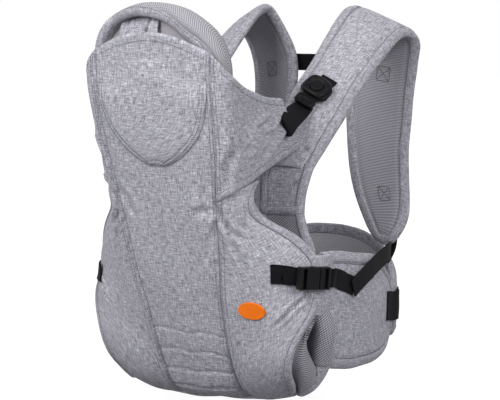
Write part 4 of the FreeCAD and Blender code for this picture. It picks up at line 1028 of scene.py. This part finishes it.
# ---------------------------------------------------------------- hood
def build_hood():
    band = Cloth(HOOD_BAND, (0, -0.3, 1), 0.0018).wave(0.0008, 0.05, 19)
    inner = band.edge_gap("left")
    band.relief += 0.0018 * fall(inner - 0.020, 0.016) - 0.0015 * fall(inner - 0.011, 0.0025)
    band.sewn("hood_rim_mesh", HOOD_PADDING, PALE_MESH, 0.7, ("hood_rim",))
    # The band's underside takes the lighter plain lining: painted light where the band shades it.
    backing = shell_from_net("hood_inner_lining", band, band.level(-HOOD_PADDING - 0.0002),
                             band.level(-HOOD_PADDING - 0.0014))
    finished(backing, PLAIN_PAINTED_LIGHT)
    binding("hood_tape", band, "left", WIDE_TAPE, HOOD_PADDING, 0.0018)
    stitches("hood_stitching", [border_run(band, "left", 0.0092, 0.0020),
                                border_run(band, "right", 0.006)])
    lining = Cloth([both_sides([(half_width * share, depth, height)
                                for share, depth in LINING_DEPTHS])
                    for height, half_width in LINING_ROWS], FRONT).wave(0.0005, 0.05, 23)
    lining.sewn("hood_lining_cloth", PANEL, PLAIN, 0.2, ("hood_lining",))
    stitches("hood_lining_stitching", border_runs(lining.turned_over(lining.level(-PANEL)),
                                                  SIDE_EDGES + ("bottom",), (0.005, 0.011)),
             PALE_THREAD)
    tab = Cloth(TAB_ROWS, FRONT, 0.0011)
    crease(tab, [(-0.1, 0.70), (0.5, 0.78), (1.1, 0.90)], 0.0045, 0.004, 0.6)
    crease(tab, [(-0.1, 0.22), (1.1, 0.16)], 0.0018, 0.006)
    tab.relief += 0.0022 + 0.0010 * cloth_noise(tab.u, tab.v, 0.03, 8)
    tab.sewn("hood_tab_cloth", 0.0005, CLOTH, 0.3, ("hood_tab",))


# ---------------------------------------------------------------- straps and belt
def strap_rows(stations, full_width, crown):
    """Rows across a strap from stations of (middle, direction across, share of the width)."""
    points = [np.array(middle, float) for middle, _, _ in stations]
    rows = []
    for k, (_, across, share) in enumerate(stations):
        side = unit(np.array(across, float))
        ahead = points[min(k + 1, len(points) - 1)] - points[max(k - 1, 0)]
        proud = np.cross(side, ahead)
        proud *= crown / np.linalg.norm(proud)
        half = side * full_width * share / 2
        rows.append([points[k] + half * place + proud * rise for place, rise in
                     ((-1, 0), (-0.5, 0.8), (0, 1), (0.5, 0.8), (1, 0))])
    return rows


def belt_rows(stations, outward):
    """Rows down the belt from stations of ((x, y), top, bottom), with a barrel-shaped face."""
    rows = []
    for share, bulge in BARREL:
        row = []
        for (x, y), top, bottom in stations:
            away = np.array([x, y, 0.0]) / math.hypot(x, y) * (bulge if outward else 0.0)
            row.append(np.array([x, y, bottom + (top - bottom) * share]) + away)
        rows.append(row)
    return rows


def mirrored_stations(stations):
    return [((-x, y), top, bottom) for (x, y), top, bottom in stations[:0:-1]] + list(stations)


def padded_layers(name, cloth, edges, covers, linings, thin_end=False, lining=MESH):
    """Outer cover and inner lining of a padded band. Gives the relief of its underside."""
    inset = cloth.inset(edges)
    drop = EDGE_DROP * (1 - np.clip(inset / 0.014, 0, 1) ** 0.55)
    seam = fall(inset - WIDE_TAPE - 0.001, 0.0028)
    cloth.relief = cloth.relief - drop - 0.0026 * seam
    lower = -PADDED + drop + 0.0018 * seam
    if thin_end:
        lower = lower + 0.0072 * fall(cloth.edge_gap("top"), 0.045)
    middle = (cloth.relief + lower) / 2
    for title, top, bottom, material, nodes, fill in (
            ("_cover", cloth.relief, middle + 0.0002, CLOTH, covers, 0.7),
            ("_lining", middle - 0.0002, lower, lining, linings, 0.5)):
        layer = shell_from_net(name + title, cloth, top, bottom, 0.0004)
        finished(layer, material, nodes=nodes)
    return lower


def band_tape(name, cloth, lower, edge, width):
    """Edge tape of a padded band whose underside is the lower relief."""
    thick = 0.0011
    insets = [width * share for share in (1.0, 0.85, 0.6, 0.3, 0.0)]
    rings = []
    for places, away, border_normal in cloth.lanes(edge, insets):
        outer, inner, under, over = [], [], [], []
        for place, rise in zip(places, (0.1, 0.9, 1.1, 1.0, 0.7)):
            point, normal = cloth.surface(*place)
            base = point + normal * (between(lower, *place) - between(cloth.relief, *place))
            outer.append(point + normal * thick * rise)
            under.append(point - normal * thick * 0.4)
            inner.append(base - normal * thick * rise)
            over.append(base + normal * thick * 0.4)
        middle = (outer[-1] + inner[-1]) / 2
        half = np.linalg.norm(outer[-1] - inner[-1]) / 2
        reach = half * 0.55
        turn = [middle + border_normal * half * rise + away * out * share
                for rise, out, share in ((0.8, reach, 0.75), (0.3, reach + thick, 1.0),
                                         (-0.3, reach + thick, 1.0), (-0.8, reach, 0.75))]
        rings.append(outer + turn + inner[::-1] + over[::2] + under[::-2])
    return finished(tube_grid(name, rings), TAPE)


def crossed_box(cloth, place):
    """Stitching runs of a sewn square with its two diagonals."""
    (top, bottom), (left, right) = place
    a, b, c, d = (top, left), (top, right), (bottom, left), (bottom, right)
    return [seam_run(cloth, line, 0.0004) for line in
            ([a, b], [c, d], [a, c], [b, d], [a, d], [b, c])]


def build_straps():
    for side, sign in SIDES:
        cloth = Cloth(strap_rows(STRAP_STATIONS, 86, 2.0), (0, 0, 1), PADDED_PITCH)
        cloth = cloth.wave(0.0007, 0.07, 31).on_side(sign)
        lower = padded_layers(
            "shoulder_strap_" + side, cloth, SIDE_EDGES + ("bottom",),
            ("shoulder_strap_cover_" + side, "shoulder_strap_foam"), ("shoulder_strap_lining",),
            thin_end=True)
        for edge in SIDE_EDGES:
            band_tape("strap_tape_%s_%s" % (edge, side), cloth, lower, edge, EDGE_TAPE)
        back = cloth.turned_over(lower)
        stitches("lining_boxes_" + side, crossed_box(back, BACK_BOX) + crossed_box(back, TIP_BOX),
                 thick=0.0006)
        band_tape("strap_tip_tape_" + side, cloth, lower, "bottom", WIDE_TAPE)
        stitches("strap_stitching_" + side, border_runs(cloth, SIDE_EDGES, (0.009,), 0.0012))
        build_harness(side, sign)


def build_harness(side, sign):
    """Lower strap: woven down to a cross seam, mesh below it, taped on both edges."""
    thick = 0.0058
    for title, stations, material in (("cloth", HARNESS_STATIONS[:4], CLOTH),
                                      ("mesh", HARNESS_STATIONS[3:], RIDGED_MESH)):
        cloth = Cloth(strap_rows(stations, 60, 1.0), FRONT, 0.0025)
        cloth = cloth.wave(0.0006, 0.04, 37).on_side(sign)
        cloth.sewn("harness_%s_%s" % (title, side), thick, material, 0.3,
                   ("harness_strap_" + side,))
        for edge in SIDE_EDGES:
            band_tape("harness_tape_%s_%s_%s" % (title, edge, side), cloth, cloth.level(-thick),
                      edge, 0.008)
        stitches("harness_seams_%s_%s" % (title, side),
                 border_runs(cloth, SIDE_EDGES, (0.0086,), 0.0004), thick=0.0007)
        if title == "cloth":
            binding("harness_cross_tape_" + side, cloth, "bottom", WIDE_TAPE, thick, 0.0026)
            stitches("harness_stitching_" + side,
                     [border_run(cloth, "bottom", inset, lift, 0.12, 0.88)
                      for inset, lift in ((0.0092, 0.0014), (0.002, 0.0016))])


def build_belt():
    edges = ("top", "bottom", "right")
    for side, sign in SIDES:
        cloth = Cloth(belt_rows(WING_BELT, True), (1, 0, 0), PADDED_PITCH)
        cloth = cloth.wave(0.0008, 0.06, 41).on_side(sign)
        lower = padded_layers(
            "waist_wing_" + side, cloth, edges,
            ("waist_wing_cover_" + side, "waist_wing_foam"), ("waist_wing_lining",))
        for edge in edges:
            band_tape("wing_tape_%s_%s" % (edge, side), cloth, lower, edge, WIDE_TAPE)
        stitches("wing_stitching_" + side, border_runs(cloth, edges, (0.0112,)), thick=0.0006)
    edges = ("top", "bottom") + SIDE_EDGES
    lumbar = Cloth(belt_rows(mirrored_stations(LUMBAR_BELT), True), (0, 1, 0), PADDED_PITCH)
    lumbar.wave(0.0008, 0.06, 43)
    # The lumbar pad's lining takes the lighter mesh: painted light on a lining in shade.
    lower = padded_layers("lumbar_pad", lumbar, edges, ("lumbar_pad_cover", "lumbar_pad_foam"),
                          ("lumbar_pad_lining",), lining=LUMBAR_MESH_PAINTED_LIGHT)
    for edge in edges:
        band_tape("lumbar_tape_" + edge, lumbar, lower, edge, WIDE_TAPE)
    belly = Cloth(belt_rows(mirrored_stations(BELLY_BELT), False), FRONT, HIDDEN_PITCH)
    belly.wave(0.0006, 0.07, 47).sewn("belly_panel_mesh", PANEL, MESH, 0.25, ("belly_panel",))
    bib = Cloth([both_sides(half) for half in INNER_ROWS], FRONT, HIDDEN_PITCH)
    bib.sewn("bib_mesh", PANEL, MESH, 0.2, ("inner_panel",))


def build_seat(hip):
    seat = Cloth([both_sides(half) for half in SEAT_ROWS], (0, 0, -1), HIDDEN_PITCH)
    seat.wave(0.0006, 0.07, 53).sewn("seat_cloth", PANEL, CLOTH, 0.3, ("seat_base",))
    for side, sign in SIDES:
        build_leg_opening(side, sign, hip)


def build_leg_opening(side, sign, hip):
    """Padded mesh lips of a leg opening, the seat's side below it, the panel's end above it, and a
    near-black mesh sheet in the opening that is painted shade of the pouch's dark inside.
    """
    leg = slice(int(hip.points.shape[0] * LEG_SHARE), None)
    hidden, edge = (spline((hip.points[leg, column] - hip.normals[leg, column] * depth)[::6],
                           len(LIP_BULGE)) / MM for column, depth in ((-8, 0.0064), (-1, 0.0105)))
    front = [[sewn, start, (start + bulge) / 2, bulge,
              bulge * 0.45 + fold * 0.55 + (2.5, 0, 0), fold, fold + (-16, 5, 2)]
             for sewn, start, bulge, fold in zip(hidden, edge, np.array(LIP_BULGE, float),
                                                 np.array(LIP_CREASE, float))]
    # Rows of the near-black sheet inside the opening: painted shade where the pouch's inside falls
    # dark.
    inside = [[a + (2.0, -1.5, 0), (a + b) / 2 + (1.5, -2.0, 0), b + (0.8, -1.2, 0)]
              for a, b in np.array([row[:2] for row in BACK_LIP], float)]
    inside.append([(148, -161, -58), (154, -167, -58), (160, -170, -58)])
    cuff = ("leg_cuff_" + side,)
    for title, rows, material, nodes, thick in (
            ("leg_hole_painted_shade", inside, PAINTED_SHADE_MESH, (), 0.0008),
            ("front_lip", front, RIDGED_MESH, cuff, 0.0045),
            ("back_lip", BACK_LIP, RIDGED_MESH, cuff, 0.0045),
            ("seat_side", SEAT_SIDE, CLOTH, (), 0.004),
            ("belt_fold", BELT_FOLD, CLOTH, (), 0.003)):
        lip = Cloth(rows, (1, -0.4, 0), 0.0016).wave(0.0005, 0.03, 61).on_side(sign)
        lip.sewn("%s_%s" % (title, side), thick, material, 0.4, nodes)
        if title == "seat_side":
            zigzag = [(0.12 + 0.05 * k, 0.36 + 0.07 * (k % 2)) for k in range(14)]
            stitches("seat_zigzag_" + side, [seam_run(lip, zigzag)], PALE_THREAD,
                     length=0.003, pause=0.0003, thick=0.0005)


# ---------------------------------------------------------------- buckles and webbing
def plan_solid(name, place, size, power, levels):
    """A moulded solid: one rounded outline, scaled and raised level by level."""
    middle, along, across, proud = place
    turn = np.linspace(0, 2 * math.pi, 65)[:-1]
    away, aside = (np.sign(wave) * np.abs(wave) ** (2 / power) * half * MM
                   for wave, half in zip((np.cos(turn), np.sin(turn)), size))
    outline = away[:, None] * along + aside[:, None] * across
    return tube_grid(name, [middle + outline * share + proud * height * MM
                            for height, share in levels])


def build_corner_buckle(side, sign):
    """Round-cornered buckle body with its press button, latch frame and folded webbing loop."""
    axes = {joint["name"]: np.array(joint["axis"]) for joint in frame["joints"]}
    along = -axes[side + "_corner_latch_slide"]
    proud = -axes[side + "_corner_button_press"]
    low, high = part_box("corner_buckle_" + side)
    middle = (np.array(low) + np.array(high)) / 2 - proud * 0.0052
    for name, mover, node, shifts, size, power, levels in BUCKLE_SOLIDS:
        place = middle + along * shifts[0] + along * shifts[1]
        solid = plan_solid(name + side, (place, along, np.cross(along, proud), proud), size,
                           power, levels)
        finished(solid, BLACK_PLASTIC, side + mover if mover else ROOT,
                 (node + side,) if node else ())
    loop = edged_webbing("corner_loop_webbing_" + side, sign, LOOP_LEFT, LOOP_RIGHT)
    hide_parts("corner_loop_" + side)


def edged_webbing(name, sign, one_edge, other_edge):
    """Webbing between two edges that reaches from the carrier to a moving body."""
    flip = np.array([sign, 1.0, 1.0])
    rows = [[np.array(a) * flip, (np.array(a) + b) / 2 * flip, np.array(b) * flip]
            for a, b in zip(one_edge, other_edge)]
    piece = Cloth(rows, (sign, -1, 0.5), 0.0016).shell(name, 0.0018)
    piece.data.materials.append(BLACK_WEBBING)
    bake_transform(piece)
    return piece


def build_anchor_webbing(tree):
    """Sewn webbing of the +X side buckle: flat on the hip panel, then up to the buckle's bar."""
    guides = np.array(ANCHOR_GUIDES, float) * MM
    stations = [on_surface(tree, guide, (1, -1, 0), 0.0004) for guide in guides[:-1]]
    stations.append((guides[-1], stations[-1][1]))
    finished(flat_strip("anchor_webbing", stations, 0.0226, 0.0022, tree, 0.0004), BLACK_WEBBING)


def finish_hardware():
    """Materials of the hardware and webbing kept from the CAD."""
    for name, node in frame["nodes"].items():
        if node.hide_render:
            continue
        moulded = any(word in name for word in MOULDED_WORDS) and "webbing" not in name
        node.data.materials.clear()
        node.data.materials.append(ORANGE if name == "oval_label" else
                                   BLACK_PLASTIC if moulded else BLACK_WEBBING)


# ---------------------------------------------------------------- room, light and camera
def seen_rays(tree):
    """One where the camera sees a surface, straight or through gloss or glass."""
    path = tree.nodes.new("ShaderNodeLightPath")
    seen = path.outputs["Is Camera Ray"]
    for ray in ("Is Glossy Ray", "Is Transmission Ray"):
        either = tree.nodes.new("ShaderNodeMath")
        either.operation = "MAXIMUM"
        tree.links.new(seen, either.inputs[0])
        tree.links.new(path.outputs[ray], either.inputs[1])
        seen = either.outputs[0]
    return seen


def mixed_for_camera(tree, unseen, seen, output):
    """Ends a tree with one shader for the light that bounces and another for what is seen."""
    mix = tree.nodes.new("ShaderNodeMixShader")
    for source, socket in ((seen_rays(tree), mix.inputs["Fac"]), (unseen, mix.inputs[1]),
                           (seen, mix.inputs[2]), (mix.outputs["Shader"], output)):
        tree.links.new(source, socket)


def plain_white(name):
    """A matt floor that keeps shadows, lifted to white wherever the camera sees it."""
    material, shader = new_material(name)
    tree = material.node_tree
    shader.inputs["Base Color"].default_value = (0.22, 0.22, 0.23, 1.0)
    shader.inputs["Roughness"].default_value = 1.0
    glow = tree.nodes.new("ShaderNodeEmission")
    glow.inputs["Color"].default_value = WHITE
    glow.inputs["Strength"].default_value = FLOOR_GLOW
    raised = tree.nodes.new("ShaderNodeAddShader")
    tree.links.new(shader.outputs["BSDF"], raised.inputs[0])
    tree.links.new(glow.outputs["Emission"], raised.inputs[1])
    output = next(node for node in tree.nodes if node.type == "OUTPUT_MATERIAL")
    mixed_for_camera(tree, shader.outputs["BSDF"], raised.outputs["Shader"],
                     output.inputs["Surface"])
    return material


def aimed(name, data, place, aim):
    """A lamp or camera that looks from a place at another."""
    made = linked(name, data)
    made.location = place
    made.rotation_euler = (Vector(aim) - Vector(place)).to_track_quat("-Z", "Y").to_euler()
    return made


def build_stage():
    level = cad_box[0].z - FLOOR_DROP
    corners = [(x * FLOOR_REACH, y * FLOOR_REACH, level)
               for x, y in ((-1, -1), (1, -1), (1, 1), (-1, 1))]
    floor = make_object("floor", corners, [(0, 1, 2, 3)], smooth=False)
    floor.data.materials.append(plain_white("pale_floor"))
    world = bpy.data.worlds.new("studio")
    bpy.context.scene.world = world
    world.use_nodes = True
    tree = world.node_tree
    soft = tree.nodes["Background"]
    soft.inputs["Color"].default_value = (0.97, 0.96, 1.0, 1.0)
    soft.inputs["Strength"].default_value = 0.38
    white = tree.nodes.new("ShaderNodeBackground")
    white.inputs["Color"].default_value = WHITE
    mixed_for_camera(tree, soft.outputs["Background"], white.outputs["Background"],
                     tree.nodes["World Output"].inputs["Surface"])
    for name, place, aim, size, power in LAMPS:
        light = bpy.data.lights.new(name, "AREA")
        light.size, light.energy = size, power
        aimed(name, light, place, aim)


def build_camera():
    data = bpy.data.cameras.new("camera")
    data.lens, data.sensor_width, data.clip_end = LENS, 36.0, 50.0
    bpy.context.scene.camera = aimed("camera", data, CAMERA_AT, CAMERA_TO)


build_camera()
build_stage()
bpy.context.scene.view_settings.view_transform = "Standard"
middle_piece = build_middle()
right_hip, right_hip_piece = build_sides()
build_head_patch(hugging(middle_piece))
build_hood()
build_straps()
build_belt()
build_seat(right_hip)
for side, sign in SIDES:
    build_corner_buckle(side, sign)
    edged_webbing("tip_fold_webbing_" + side, sign, TIP_LOW, TIP_HIGH)
build_anchor_webbing(hugging(right_hip_piece))
finish_hardware()
